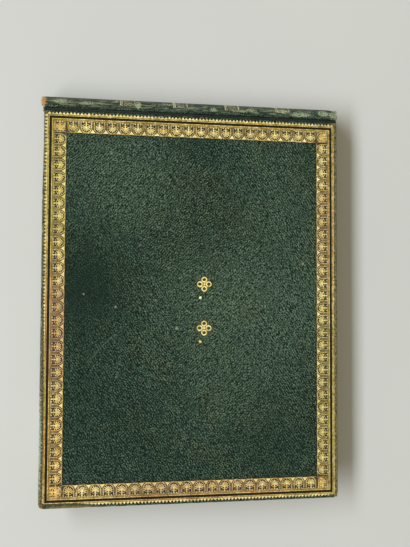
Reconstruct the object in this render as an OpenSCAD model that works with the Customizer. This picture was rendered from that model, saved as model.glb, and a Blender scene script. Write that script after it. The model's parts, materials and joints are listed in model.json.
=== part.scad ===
// Oblong notebook bound in green leather, closed, lying on its back cover.
// X runs from the spine to the fore-edge, Y from the tail to the head, Z up.
// The origin is at the middle of the face that it lies on.

/* [Covers] */
// Height of the covers, tail to head
cover_h = 180; // [120:1:240]
// Width of the covers, joint to fore-edge
cover_w = 232.5; // [160:0.5:300]
// Thickness of the closed book
book_t = 20; // [16:0.5:36]
// Thickness of the leather
leather_t = 0.8; // [0.6:0.1:1]
// Thickness of the boards inside the covers
board_t = 2.3; // [1.6:0.1:3.2]
// Thickness of the endpapers and of the turned-in leather
lining_t = 0.3; // [0.3:0.05:0.4]
// Width of the leather turned in over the boards
turn_in = 11; // [8:0.5:20]
// Width of the leather turned in along the joint
turn_in_joint = 4; // [2:0.5:12]
// Rounding of the leather over the board edges
edge_r = 1.1; // [0.6:0.1:1.4]
// Rounding of the cover corners, seen from above
corner_r = 1.6; // [1:0.1:4]
// Gap between pieces that move against each other
joint_gap = 0.3; // [0.3:0.05:0.5]

/* [Back and leaves] */
// How far the back's rounding stays below the faces of the covers
back_drop = 0.3; // [0.3:0.05:0.8]
// Width of the groove between cover and back
groove_w = 2.5; // [1.5:0.1:3.5]
// Depth of the groove below the cover's face
groove_depth = 1.3; // [0.8:0.1:1.8]
// How far the covers reach past the leaves
square_w = 3; // [2:0.5:5]
// Depth of the hollow in the fore-edge
fore_hollow = 2.6; // [1:0.1:4]
// Thickness of the lining glued over the sewn back
back_lining_t = 0.4; // [0.3:0.05:0.6]
// Diameter of the sewing cords
cord_d = 1.8; // [1.2:0.1:2.4]
// Width of the channels sawn for the cords
kerf_w = 2.4; // [2.4:0.1:3.2]
// Radial height of the silk bands at head and tail
endband_w = 2.2; // [1.6:0.1:3]
// How far the silk bands stand on the leaves
endband_h = 1.8; // [1.2:0.1:1.9]

/* [Gilt border, from the cover's edge] */
// Depth of the tooled channels that hold the gold
tooling_d = 0.15; // [0.1:0.05:0.3]
// Points of the dog-tooth row
tooth_tip = 1.25; // [1.2:0.05:1.4]
// Root of the dog-tooth row
tooth_root = 2.55; // [2.2:0.05:2.7]
// Spacing of the teeth
tooth_pitch = 2.07; // [1.8:0.01:3.2]
// Inner edge of the gold strip that carries the teeth
tooth_strip = 2.95; // [2.85:0.05:3]
// Width of a fillet line
fillet_w = 0.45; // [0.3:0.05:0.5]
// Outer edges of the three fillet lines
fillet_1 = 3.3; // [3.2:0.05:3.4]
fillet_2 = 5.0; // [4.6:0.05:5.1]
fillet_3 = 5.75; // [5.7:0.05:5.8]
// Outer edge of the palmette roll
roll_outer = 6.5; // [6.4:0.1:7]
// Width of the palmette roll
roll_w = 7.0; // [6.4:0.1:9]
// Spacing of the palmettes
palmette_pitch = 7.66; // [7:0.01:10]

/* [Ornaments] */
// Middle of the first ornament, from the joint edge
fleuron_x1 = 102.2; // [90:0.1:110]
// Middle of the second ornament, from the joint edge
fleuron_x2 = 128.6; // [120:0.1:136]
// Distance of the ornaments from the middle line, towards the head
fleuron_y = 6.2; // [0:0.1:20]
// Width of an ornament across the book
fleuron_w = 8.8; // [6:0.1:12]
// Width of the lines that an ornament is drawn with
petal_line = 0.7; // [0.5:0.05:1]
// Distance from an ornament to its dot, away from the joint
dot_step = 8.1; // [6:0.1:10]
// Distance from an ornament's middle to its dot, towards the tail
dot_drop = 2.4; // [0:0.1:4]
// Diameter of the dots
dot_d = 1.6; // [1:0.1:2.4]
// Number of gilt bands across the back
pallet_count = 4; // [1:1:5]
// Middle of the first gilt band, from the tail
pallet_first = 49.4; // [20:0.1:54]
// Spacing of the gilt bands
pallet_pitch = 32; // [16:0.5:36]
// Width of a gilt band
pallet_w = 9; // [6:0.5:12]
// Width of the lines of a gilt band
pallet_line = 0.7; // [0.4:0.1:1]

/* [Hidden] */
$fn = 64;
overcut = 0.5;

cover_t = leather_t + board_t + lining_t;
mid_z = book_t / 2;
back_r = mid_z - back_drop;
length_x = cover_w + joint_gap + back_r;
fore_x = length_x / 2;
joint_x = fore_x - cover_w;
cover_x = (fore_x + joint_x) / 2;
back_x = joint_x - joint_gap;
block_t = book_t - 2 * (cover_t + joint_gap + lining_t);
block_h = cover_h - 2 * square_w;
block_fore_x = fore_x - square_w;
inner_r = back_r - leather_t;
sewn_r = inner_r - back_lining_t;
groove_x = joint_x - groove_w / 2;
lining_h = block_h - 1;
cord_play = 0.1;
endband_r = inner_r - joint_gap;
cap_lip = endband_w;
roll_inner = roll_outer + roll_w;
channel_margin = 0.1;
channel_outer = tooth_tip - channel_margin;
channel_inner = roll_inner + channel_margin;
leather_green = "#2f4436";
gold = "#c9a961";
paper = "#e6dcc2";

// A profile drawn in X and Z, run along Y
module along_y(length) {
    rotate([90, 0, 0])
        linear_extrude(height = length, center = true)
            children();
}

// A ring of a size and radius, run as a band round the back's axis
module back_ring(outer, inner, width, y) {
    translate([back_x, y, mid_z])
        rotate([90, 0, 0])
            difference() {
                cylinder(h = width, r = outer, center = true);
                cylinder(h = width + 1, r = inner, center = true);
            }
}

// A rounded rectangle, centred
module rounded_rect(w, h, r) {
    square([w, h - 2 * r], center = true);
    square([w - 2 * r, h], center = true);
    for (sx = [-1, 1], sy = [-1, 1])
        translate([sx * (w / 2 - r), sy * (h / 2 - r)])
            circle(r);
}

// A cover's outer form: the leather is rounded over all its edges
module cover_form() {
    translate([cover_x, 0, cover_t / 2])
        intersection() {
            linear_extrude(height = cover_t, center = true)
                rounded_rect(cover_w, cover_h, corner_r);
            along_y(cover_h)
                rounded_rect(cover_w, cover_t, edge_r);
            rotate([90, 0, 90])
                linear_extrude(height = cover_w, center = true)
                    rounded_rect(cover_h, cover_t, edge_r);
        }
}

// A frame of given width that follows the cover's edge at a distance
module frame(outer, inner) {
    difference() {
        square([cover_w - 2 * outer, cover_h - 2 * outer], center = true);
        square([cover_w - 2 * inner, cover_h - 2 * inner], center = true);
    }
}

// Puts a drawing of a gilt ornament into the outer face of the lower cover
module tooled(depth) {
    translate([cover_x, 0, 0])
        linear_extrude(height = depth)
            children();
}

// The lower cover's pieces, mirrored up for the front cover
module as_front() {
    translate([0, 0, book_t])
        mirror([0, 0, 1])
            children();
}

module cover_board() {
    translate([joint_x + leather_t, leather_t - cover_h / 2, leather_t])
        cube([cover_w - 2 * leather_t, cover_h - 2 * leather_t, board_t]);
}

// A block as wide as the pasted paper, which the turned-in leather frames
module pastedown_block(bottom, height) {
    translate([joint_x + turn_in_joint, turn_in - cover_h / 2, bottom])
        cube([cover_w - turn_in_joint - turn_in, cover_h - 2 * turn_in, height]);
}

module cover_pastedown() {
    pastedown_block(cover_t - lining_t, lining_t);
}

// The skin of a cover: hollow for the board, open to the paper, sunk where it is tooled
module cover_leather(ornaments) {
    difference() {
        cover_form();
        cover_board();
        pastedown_block(cover_t - lining_t - overcut, lining_t + 2 * overcut);
        sunk_tooling()
            frame(channel_outer, channel_inner);
        if (ornaments)
            sunk_tooling()
                fleuron_drawing();
    }
}

// A cut as deep as the tooling, from clear outside the cover's face
module sunk_tooling() {
    translate([0, 0, -overcut])
        tooled(tooling_d + overcut)
            children();
}

// Zigzag along one side of the border, from its corner to just before the next
function teeth_side(length, half) =
    let (n = round((length - 2 * tooth_root) / tooth_pitch), step = (length - 2 * tooth_root) / n)
    [for (i = [0 : n - 1]) each [
        [-length / 2 + tooth_root + i * step, -half + tooth_root],
        [-length / 2 + tooth_root + (i + 0.5) * step, -half + tooth_tip]
    ]];

function turned(points, quarter) =
    [for (p = points) quarter == 0 ? p : quarter == 1 ? [-p[1], p[0]] : quarter == 2 ? -p : [p[1], -p[0]]];

module tooth_drawing() {
    teeth = [for (q = [0 : 3]) each turned(
        q % 2 == 0 ? teeth_side(cover_w, cover_h / 2) : teeth_side(cover_h, cover_w / 2), q)];
    difference() {
        polygon(teeth);
        square([cover_w - 2 * tooth_strip, cover_h - 2 * tooth_strip], center = true);
    }
}

module fillet_drawing() {
    frame(fillet_1, fillet_1 + fillet_w);
    frame(fillet_2, fillet_2 + fillet_w);
    frame(fillet_3, fillet_3 + fillet_w);
}

// Runs its children once for each palmette, with the roll's middle line at the origin
module palmette_run() {
    for (q = [0 : 3]) {
        side = q % 2 == 0 ? cover_w : cover_h;
        half = q % 2 == 0 ? cover_h / 2 : cover_w / 2;
        run = side - 2 * roll_inner;
        n = round(run / palmette_pitch);
        rotate(90 * q)
            for (i = [0 : n - 1])
                translate([(i + 0.5) * run / n - run / 2, roll_outer + roll_w / 2 - half])
                    children();
    }
}

// The arch round a palmette: straight at the outer edge, round towards the field
module arch_window(turn) {
    w = palmette_pitch * 0.4;
    top = -roll_w * 0.4;
    round_y = roll_w * 0.1;
    polygon(concat(
        [[-w, top], [w, top]],
        [for (a = [0 : turn : 180]) [w * cos(a), round_y + w * 0.82 * sin(a)]]
    ));
}

// A fan of petals on a stem, spreading towards the field
module palmette() {
    w = palmette_pitch * 0.32;
    base_y = -roll_w * 0.08;
    petals = 4;
    step = 180 / petals;
    polygon(concat(
        [[-w * 0.3, base_y - w * 0.75], [w * 0.3, base_y - w * 0.75]],
        [for (k = [0 : petals - 1]) each [
            [w * 1.05 * cos((k + 0.5) * step), base_y + w * 1.35 * sin((k + 0.5) * step)],
            if (k < petals - 1)
                [w * 0.5 * cos((k + 1) * step), base_y + w * 0.75 * sin((k + 1) * step)]
        ]]
    ));
}

// The roll's ground pierced by its arches, which hold a palmette each or stay empty
module roll_drawing(leaves) {
    difference() {
        frame(roll_outer, roll_inner);
        palmette_run()
            arch_window(leaves ? 60 : 90);
    }
    if (leaves)
        palmette_run()
            palmette();
}

// Two quatrefoils of four open petals, each followed by a dot
module fleuron_drawing() {
    petal_r = fleuron_w / 5;
    for (x = [fleuron_x1, fleuron_x2])
        translate([x - cover_w / 2, fleuron_y]) {
            for (a = [0 : 90 : 270])
                rotate(a)
                    translate([fleuron_w / 2 - petal_r, 0])
                        difference() {
                            circle(petal_r, $fn = 8);
                            circle(petal_r - petal_line, $fn = 8);
                        }
            rotate(45)
                square(petal_line * 2, center = true);
            translate([dot_step, -dot_drop])
                circle(d = dot_d, $fn = 8);
        }
}

// The back's cross-section inside a skin, as far as the joints; inset goes inwards
module back_profile(inset) {
    floor_z = book_t - groove_depth - inset;
    difference() {
        intersection() {
            translate([back_x, mid_z])
                circle(back_r - inset, $fn = 96);
            translate([back_x - back_r - 1, -1])
                square([back_r + 1, book_t + 2]);
        }
        for (up = [0, 1])
            translate([0, up * book_t])
                mirror([0, up])
                    groove_profile(inset);
    }
}

// The groove at the lower joint, cut to its floor and rounded into the shoulder
module groove_profile(inset) {
    translate([groove_x, 0])
        circle(groove_depth + inset, $fn = 48);
    translate([groove_x, -1])
        square([groove_w, 1 + groove_depth + inset]);
}

module back_leather() {
    color(leather_green)
        cover_leather(false);
}

module back_board() {
    color("#8a7a62")
        cover_board();
}

module back_pastedown() {
    color(paper)
        cover_pastedown();
}

module back_fillets() {
    color(gold)
        tooled(tooling_d)
            fillet_drawing();
}

module back_palmette_roll() {
    color(gold)
        tooled(tooling_d)
            roll_drawing(false);
}

module front_leather() {
    color(leather_green)
        as_front()
            cover_leather(true);
}

module front_board() {
    color("#8a7a62")
        as_front()
            cover_board();
}

module front_pastedown() {
    color(paper)
        as_front()
            cover_pastedown();
}

module front_tooth_roll() {
    color(gold)
        as_front()
            tooled(tooling_d)
                tooth_drawing();
}

module front_fillets() {
    color(gold)
        as_front()
            tooled(tooling_d)
                fillet_drawing();
}

module front_palmette_roll() {
    color(gold)
        as_front()
            tooled(tooling_d)
                roll_drawing(true);
}

module front_fleurons() {
    color(gold)
        as_front()
            tooled(tooling_d)
                fleuron_drawing();
}

// The sewn leaves: a rounded back with shoulders, and a hollow fore-edge
module text_block() {
    hollow_r = (block_t * block_t / 4 + fore_hollow * fore_hollow) / (2 * fore_hollow);
    color(paper)
        difference() {
            union() {
                along_y(block_h)
                    back_profile(leather_t + back_lining_t);
                translate([back_x - 1, -block_h / 2, mid_z - block_t / 2])
                    cube([block_fore_x - back_x + 1, block_h, block_t]);
            }
            translate([block_fore_x - fore_hollow + hollow_r, 0, mid_z])
                rotate([90, 0, 0])
                    cylinder(h = block_h + 1, r = hollow_r, center = true, $fn = 96);
            for (i = [0 : pallet_count - 1])
                intersection() {
                    back_ring(back_r, sewn_r - cord_d - joint_gap, kerf_w, pallet_y(i));
                    back_reach();
                }
        }
}

function pallet_y(i) = pallet_first + i * pallet_pitch - cover_h / 2;

// The part of the back that the cords and bands go round, clear of the grooves
module back_reach() {
    translate([back_x - back_r - overcut, -cover_h / 2, 0])
        cube([back_r + overcut - groove_w, cover_h, book_t]);
}

module sewing_cords() {
    color("#d8c9a0")
        for (i = [0 : pallet_count - 1])
            intersection() {
                translate([back_x, pallet_y(i), mid_z])
                    rotate([90, 0, 0])
                        rotate_extrude($fn = 64)
                            translate([sewn_r - cord_d / 2 - cord_play, 0])
                                circle(d = cord_d, $fn = 8);
                translate([-joint_gap, 0, 0])
                    back_reach();
            }
}

module front_flyleaf() {
    color(paper)
        translate([back_x, -block_h / 2, mid_z + block_t / 2])
            cube([block_fore_x - back_x, block_h, lining_t]);
}

module back_flyleaf() {
    color(paper)
        translate([back_x, -block_h / 2, mid_z - block_t / 2 - lining_t])
            cube([block_fore_x - back_x, block_h, lining_t]);
}

module spine_lining() {
    color("#b9ad94")
        along_y(lining_h)
            difference() {
                back_profile(leather_t);
                back_profile(leather_t + back_lining_t);
            }
}

// The skin over the back, with the joint grooves and the caps turned in at both ends
module spine_leather() {
    color(leather_green)
        difference() {
            intersection() {
                along_y(cover_h)
                    difference() {
                        back_profile(0);
                        back_profile(leather_t + cap_lip);
                    }
                back_barrel();
            }
            along_y(cover_h - 2 * leather_t)
                back_profile(leather_t);
            for (i = [0 : pallet_count - 1])
                intersection() {
                    back_ring(back_r + 1, back_r - tooling_d, pallet_w + 2 * channel_margin, pallet_y(i));
                    back_reach();
                }
        }
}

// The back's outer form with its two ends rounded over
module back_barrel() {
    translate([back_x, 0, mid_z])
        rotate([90, 0, 0])
            rotate_extrude($fn = 96)
                intersection() {
                    rounded_rect(2 * back_r, cover_h, edge_r);
                    translate([0, -cover_h])
                        square([back_r + 1, 2 * cover_h]);
                }
}

// Gilt bands across the back: a pair of lines at one side and a single line at the other
module spine_pallets() {
    half = (pallet_w - pallet_line) / 2;
    color(gold)
        for (i = [0 : pallet_count - 1], y = [-half, -half + 2 * pallet_line, half])
            intersection() {
                back_ring(back_r, back_r - tooling_d, pallet_line, pallet_y(i) + y);
                back_reach();
            }
}

// A silk band: a rounded roll that stands on the leaves and follows the back's curve
module endband() {
    crown_r = endband_w / 2;
    intersection() {
        translate([back_x, 0, mid_z])
            rotate([90, 0, 0])
                rotate_extrude($fn = 64)
                    translate([endband_r - crown_r, 0])
                        intersection() {
                            translate([0, crown_r - endband_h])
                                circle(crown_r, $fn = 12);
                            translate([-crown_r, -endband_h])
                                square([endband_w, endband_h]);
                        }
        back_reach();
    }
}

module head_endband() {
    color("#b8a878")
        translate([0, block_h / 2, 0])
            endband();
}

module tail_endband() {
    color("#b8a878")
        mirror([0, 1, 0])
            translate([0, block_h / 2, 0])
                endband();
}

back_leather();
back_board();
back_pastedown();
back_fillets();
back_palmette_roll();
text_block();
front_flyleaf();
back_flyleaf();
sewing_cords();
spine_lining();
spine_leather();
spine_pallets();
head_endband();
tail_endband();
front_leather();
front_board();
front_pastedown();
front_tooth_roll();
front_fillets();
front_palmette_roll();
front_fleurons();
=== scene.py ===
import json
import logging
import math
import random
from dataclasses import dataclass, field
from enum import Enum
from typing import Any, Callable, Sequence

import bmesh
import bpy
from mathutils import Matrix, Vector, noise


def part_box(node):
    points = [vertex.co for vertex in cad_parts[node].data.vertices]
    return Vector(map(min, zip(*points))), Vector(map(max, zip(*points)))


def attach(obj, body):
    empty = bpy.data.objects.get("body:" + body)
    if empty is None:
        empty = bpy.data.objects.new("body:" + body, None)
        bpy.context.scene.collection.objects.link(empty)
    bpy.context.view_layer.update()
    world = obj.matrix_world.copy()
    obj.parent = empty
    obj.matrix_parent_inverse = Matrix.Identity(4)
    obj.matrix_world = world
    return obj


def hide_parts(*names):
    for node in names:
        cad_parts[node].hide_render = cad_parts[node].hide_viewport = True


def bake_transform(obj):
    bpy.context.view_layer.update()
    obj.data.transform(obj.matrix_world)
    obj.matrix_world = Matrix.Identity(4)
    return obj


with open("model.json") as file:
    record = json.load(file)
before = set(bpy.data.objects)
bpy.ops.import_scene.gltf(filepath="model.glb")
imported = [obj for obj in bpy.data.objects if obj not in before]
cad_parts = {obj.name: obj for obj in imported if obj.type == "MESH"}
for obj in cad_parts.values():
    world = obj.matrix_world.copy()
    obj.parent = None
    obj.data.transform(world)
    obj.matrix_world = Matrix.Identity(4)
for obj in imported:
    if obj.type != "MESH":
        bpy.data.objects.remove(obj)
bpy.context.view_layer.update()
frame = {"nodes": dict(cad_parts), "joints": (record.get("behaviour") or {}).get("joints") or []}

LOG = logging.getLogger("notebook")
MM = 0.001
FAR = 1000.0

Point = tuple[float, float, float]
Flat = tuple[float, float]
Colour = tuple[float, float, float]


class Side(Enum):
    """Which cover a piece belongs to."""

    FRONT = "front"
    BACK = "back"

    @property
    def body(self) -> str:
        """The moving body of this cover."""
        return f"{self.value}_cover"


class Edge(Enum):
    """The four edges of a cover, in the order that the border runs round it."""

    TAIL = 0
    FORE = 1
    HEAD = 2
    JOINT = 3


class End(Enum):
    """The two ends of the back."""

    TAIL = -1
    HEAD = 1


def span(node: str) -> tuple[Vector, Vector]:
    """Lowest and highest corner of a node of the frame.

    Args:
        node: The node's name.

    Returns:
        The two corners, in millimetres.
    """
    low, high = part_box(node)
    return Vector(low) / MM, Vector(high) / MM


def wobble(x: float, y: float, seed: float) -> float:
    """Smooth irregularity of handwork, about -1 to 1, at a place and seed."""
    return noise.noise(Vector((x, y, seed)))


def arc(x: float, y: float, radius: float, start: float, stop: float, steps: int) -> list[Flat]:
    """Points along an arc.

    Args:
        x: Centre, across.
        y: Centre, up.
        radius: The arc's radius.
        start: First angle in degrees.
        stop: Last angle in degrees.
        steps: Number of chords.

    Returns:
        steps + 1 points.
    """
    angles = [math.radians(start + (stop - start) * i / steps) for i in range(steps + 1)]
    return [(x + radius * math.cos(a), y + radius * math.sin(a)) for a in angles]


@dataclass(frozen=True)
class Book:
    """The book's sizes in millimetres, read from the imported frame."""

    joint_x: float
    fore_x: float
    half_h: float
    thickness: float
    cover_t: float
    back_x: float
    back_r: float
    block_half_h: float
    block_fore_x: float
    block_low: float
    block_high: float
    groove_x: float
    leather_t: float
    board_t: float
    groove_depth: float = 1.3
    edge_r: float = 1.1
    corner_r: float = 1.6

    @classmethod
    def from_frame(cls) -> "Book":
        """Reads the sizes.

        Returns:
            The book's sizes.
        """
        cover_low, cover_high = span("front_leather")
        back_low, back_high = span("spine_leather")
        leaf_low, leaf_high = span("front_flyleaf")
        under_high = span("back_flyleaf")[1]
        board_low, board_high = span("front_board")
        hinge = next(j for j in frame["joints"] if j["name"] == "front_cover_hinge")
        return cls(
            joint_x=cover_low.x,
            fore_x=cover_high.x,
            half_h=cover_high.y,
            thickness=cover_high.z,
            cover_t=cover_high.z - cover_low.z,
            back_x=back_high.x,
            back_r=back_high.x - back_low.x,
            block_half_h=leaf_high.y,
            block_fore_x=leaf_high.x,
            block_low=under_high.z,
            block_high=leaf_low.z,
            groove_x=hinge["pos_m"][0] / MM,
            leather_t=cover_high.z - board_high.z,
            board_t=board_high.z - board_low.z,
        )

    @property
    def mid_z(self) -> float:
        """Height of the middle of the leaves."""
        return self.thickness / 2

    @property
    def cover_x(self) -> float:
        """Middle of a cover, between joint and fore-edge."""
        return (self.joint_x + self.fore_x) / 2

    @property
    def half_w(self) -> float:
        """Half of a cover's width."""
        return (self.fore_x - self.joint_x) / 2


class Shape:
    """Points and faces of one piece, gathered in millimetres."""

    def __init__(self) -> None:
        """Starts an empty shape."""
        self.points: list[Point] = []
        self.faces: list[tuple[int, ...]] = []
        self.finishes: list[int] = []

    def add(self, points: Sequence[Point], faces: Sequence[Sequence[int]], finish: int = 0) -> None:
        """Adds points and the faces between them.

        Args:
            points: New points.
            faces: Faces by the index of their points in this call.
            finish: Which of the piece's finishes the faces have.
        """
        base = len(self.points)
        self.points.extend(points)
        self.faces.extend(tuple(base + i for i in face) for face in faces)
        self.finishes.extend([finish] * len(faces))

    def prism(self, outline: Sequence[Flat], low: float, high: float, finish: int = 0) -> None:
        """Adds a flat plate with straight sides.

        Args:
            outline: The plate's outline, seen from above.
            low: Height of its lower face.
            high: Height of its upper face.
            finish: Which of the piece's finishes it has.
        """
        n = len(outline)
        points = [(x, y, low) for x, y in outline] + [(x, y, high) for x, y in outline]
        sides = [(i, (i + 1) % n, n + (i + 1) % n, n + i) for i in range(n)]
        self.add(points, [tuple(range(n))[::-1], tuple(range(n, 2 * n)), *sides], finish)

    def ribbon(
        self, left: Sequence[Flat], right: Sequence[Flat], low: float, high: float, finish: int = 0,
    ) -> None:
        """Adds a flat strip between two lines, as a closed plate of quads.

        Args:
            left: Points along one edge.
            right: As many points along the other edge.
            low: Height of its lower face.
            high: Height of its upper face.
            finish: Which of the piece's finishes it has.
        """
        loops = [
            [(a[0], a[1], low), (b[0], b[1], low), (b[0], b[1], high), (a[0], a[1], high)]
            for a, b in zip(left, right)
        ]
        self.sweep(loops, closed=True, capped=True, finish=finish)

    def sweep(self, loops: Sequence[Sequence[Point]], closed: bool, capped: bool, finish: int = 0) -> None:
        """Joins loops of equal length into a skin.

        Args:
            loops: The loops, in order.
            closed: True if each loop's last point joins its first.
            capped: True to fill the first and the last loop.
            finish: Which of the piece's finishes it has.
        """
        n = len(loops[0])
        points = [p for loop in loops for p in loop]
        faces: list[tuple[int, ...]] = []
        for k in range(len(loops) - 1):
            for i in range(n if closed else n - 1):
                j = (i + 1) % n
                faces.append((k * n + i, k * n + j, (k + 1) * n + j, (k + 1) * n + i))
        if capped:
            faces.append(tuple(range(n))[::-1])
            faces.append(tuple(range((len(loops) - 1) * n, len(loops) * n)))
        self.add(points, faces, finish)

    def turned_over(self, thickness: float) -> "Shape":
        """The shape as it is on the lower cover.

        Args:
            thickness: Thickness of the book, between the covers' outer faces.

        Returns:
            The mirrored shape.
        """
        other = Shape()
        other.points = [(x, y, thickness - z) for x, y, z in self.points]
        other.faces = [face[::-1] for face in self.faces]
        other.finishes = list(self.finishes)
        return other

    def build(self, name: str, materials: Sequence[bpy.types.Material], smooth: float) -> bpy.types.Object:
        """Makes the Blender object.

        Args:
            name: The piece's name.
            materials: Its finishes, in the order of their numbers.
            smooth: Edges sharper than this angle, in degrees, stay sharp.

        Returns:
            The new object, in metres.
        """
        mesh = bpy.data.meshes.new(name)
        mesh.from_pydata([(x * MM, y * MM, z * MM) for x, y, z in self.points], [], self.faces)
        for material in materials:
            mesh.materials.append(material)
        mesh.polygons.foreach_set("material_index", self.finishes)
        work = bmesh.new()
        work.from_mesh(mesh)
        bmesh.ops.remove_doubles(work, verts=work.verts, dist=1e-7)
        bmesh.ops.recalc_face_normals(work, faces=work.faces)
        work.to_mesh(mesh)
        work.free()
        mesh.shade_smooth()
        mesh.set_sharp_from_angle(angle=math.radians(smooth))
        piece = bpy.data.objects.new(name, mesh)
        bpy.context.scene.collection.objects.link(piece)
        LOG.info("%s: %d faces", name, len(mesh.polygons))
        return piece


class Value:
    """One output of a shader graph; sums and products of it add Math nodes."""

    def __init__(self, graph: "Graph", socket: bpy.types.NodeSocket) -> None:
        """Wraps a socket.

        Args:
            graph: The graph that the socket is in.
            socket: The output socket.
        """
        self.graph = graph
        self.socket = socket

    def _math(self, operation: str, *terms: Any) -> "Value":
        """Adds a Math node of the named operation on these terms and returns its output."""
        return self.graph.node("ShaderNodeMath", {"operation": operation}, dict(enumerate(terms)))

    def __add__(self, other: Any) -> "Value":
        """Sum."""
        return self._math("ADD", self, other)

    __radd__ = __add__

    def __mul__(self, other: Any) -> "Value":
        """Product."""
        return self._math("MULTIPLY", self, other)

    __rmul__ = __mul__

    def __sub__(self, other: Any) -> "Value":
        """Difference."""
        return self._math("SUBTRACT", self, other)

    def __rsub__(self, other: Any) -> "Value":
        """Difference, the other way round."""
        return self._math("SUBTRACT", other, self)

    def __truediv__(self, other: Any) -> "Value":
        """Quotient."""
        return self._math("DIVIDE", self, other)

    def __abs__(self) -> "Value":
        """Absolute value."""
        return self._math("ABSOLUTE", self)

    def largest(self, other: Any) -> "Value":
        """The larger of this and another value."""
        return self._math("MAXIMUM", self, other)

    def smallest(self, other: Any) -> "Value":
        """The smaller of this and another value."""
        return self._math("MINIMUM", self, other)

    def sine(self) -> "Value":
        """Sine of the value, in radians."""
        return self._math("SINE", self)

    def angle_from(self, across: "Value") -> "Value":
        """Angle whose tangent is this value over another."""
        return self._math("ARCTAN2", self, across)

    def ramp(self, low: float, high: float) -> "Value":
        """A smooth step.

        Args:
            low: Where the step starts.
            high: Where it ends; below low, the step falls.

        Returns:
            0 to 1, or 1 to 0 when high is below low.
        """
        rising = high > low
        settings = {"interpolation_type": "SMOOTHSTEP", "clamp": True}
        bounds = {1: min(low, high), 2: max(low, high), 3: 0.0 if rising else 1.0, 4: 1.0 if rising else 0.0}
        return self.graph.node("ShaderNodeMapRange", settings, {0: self, **bounds})


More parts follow.
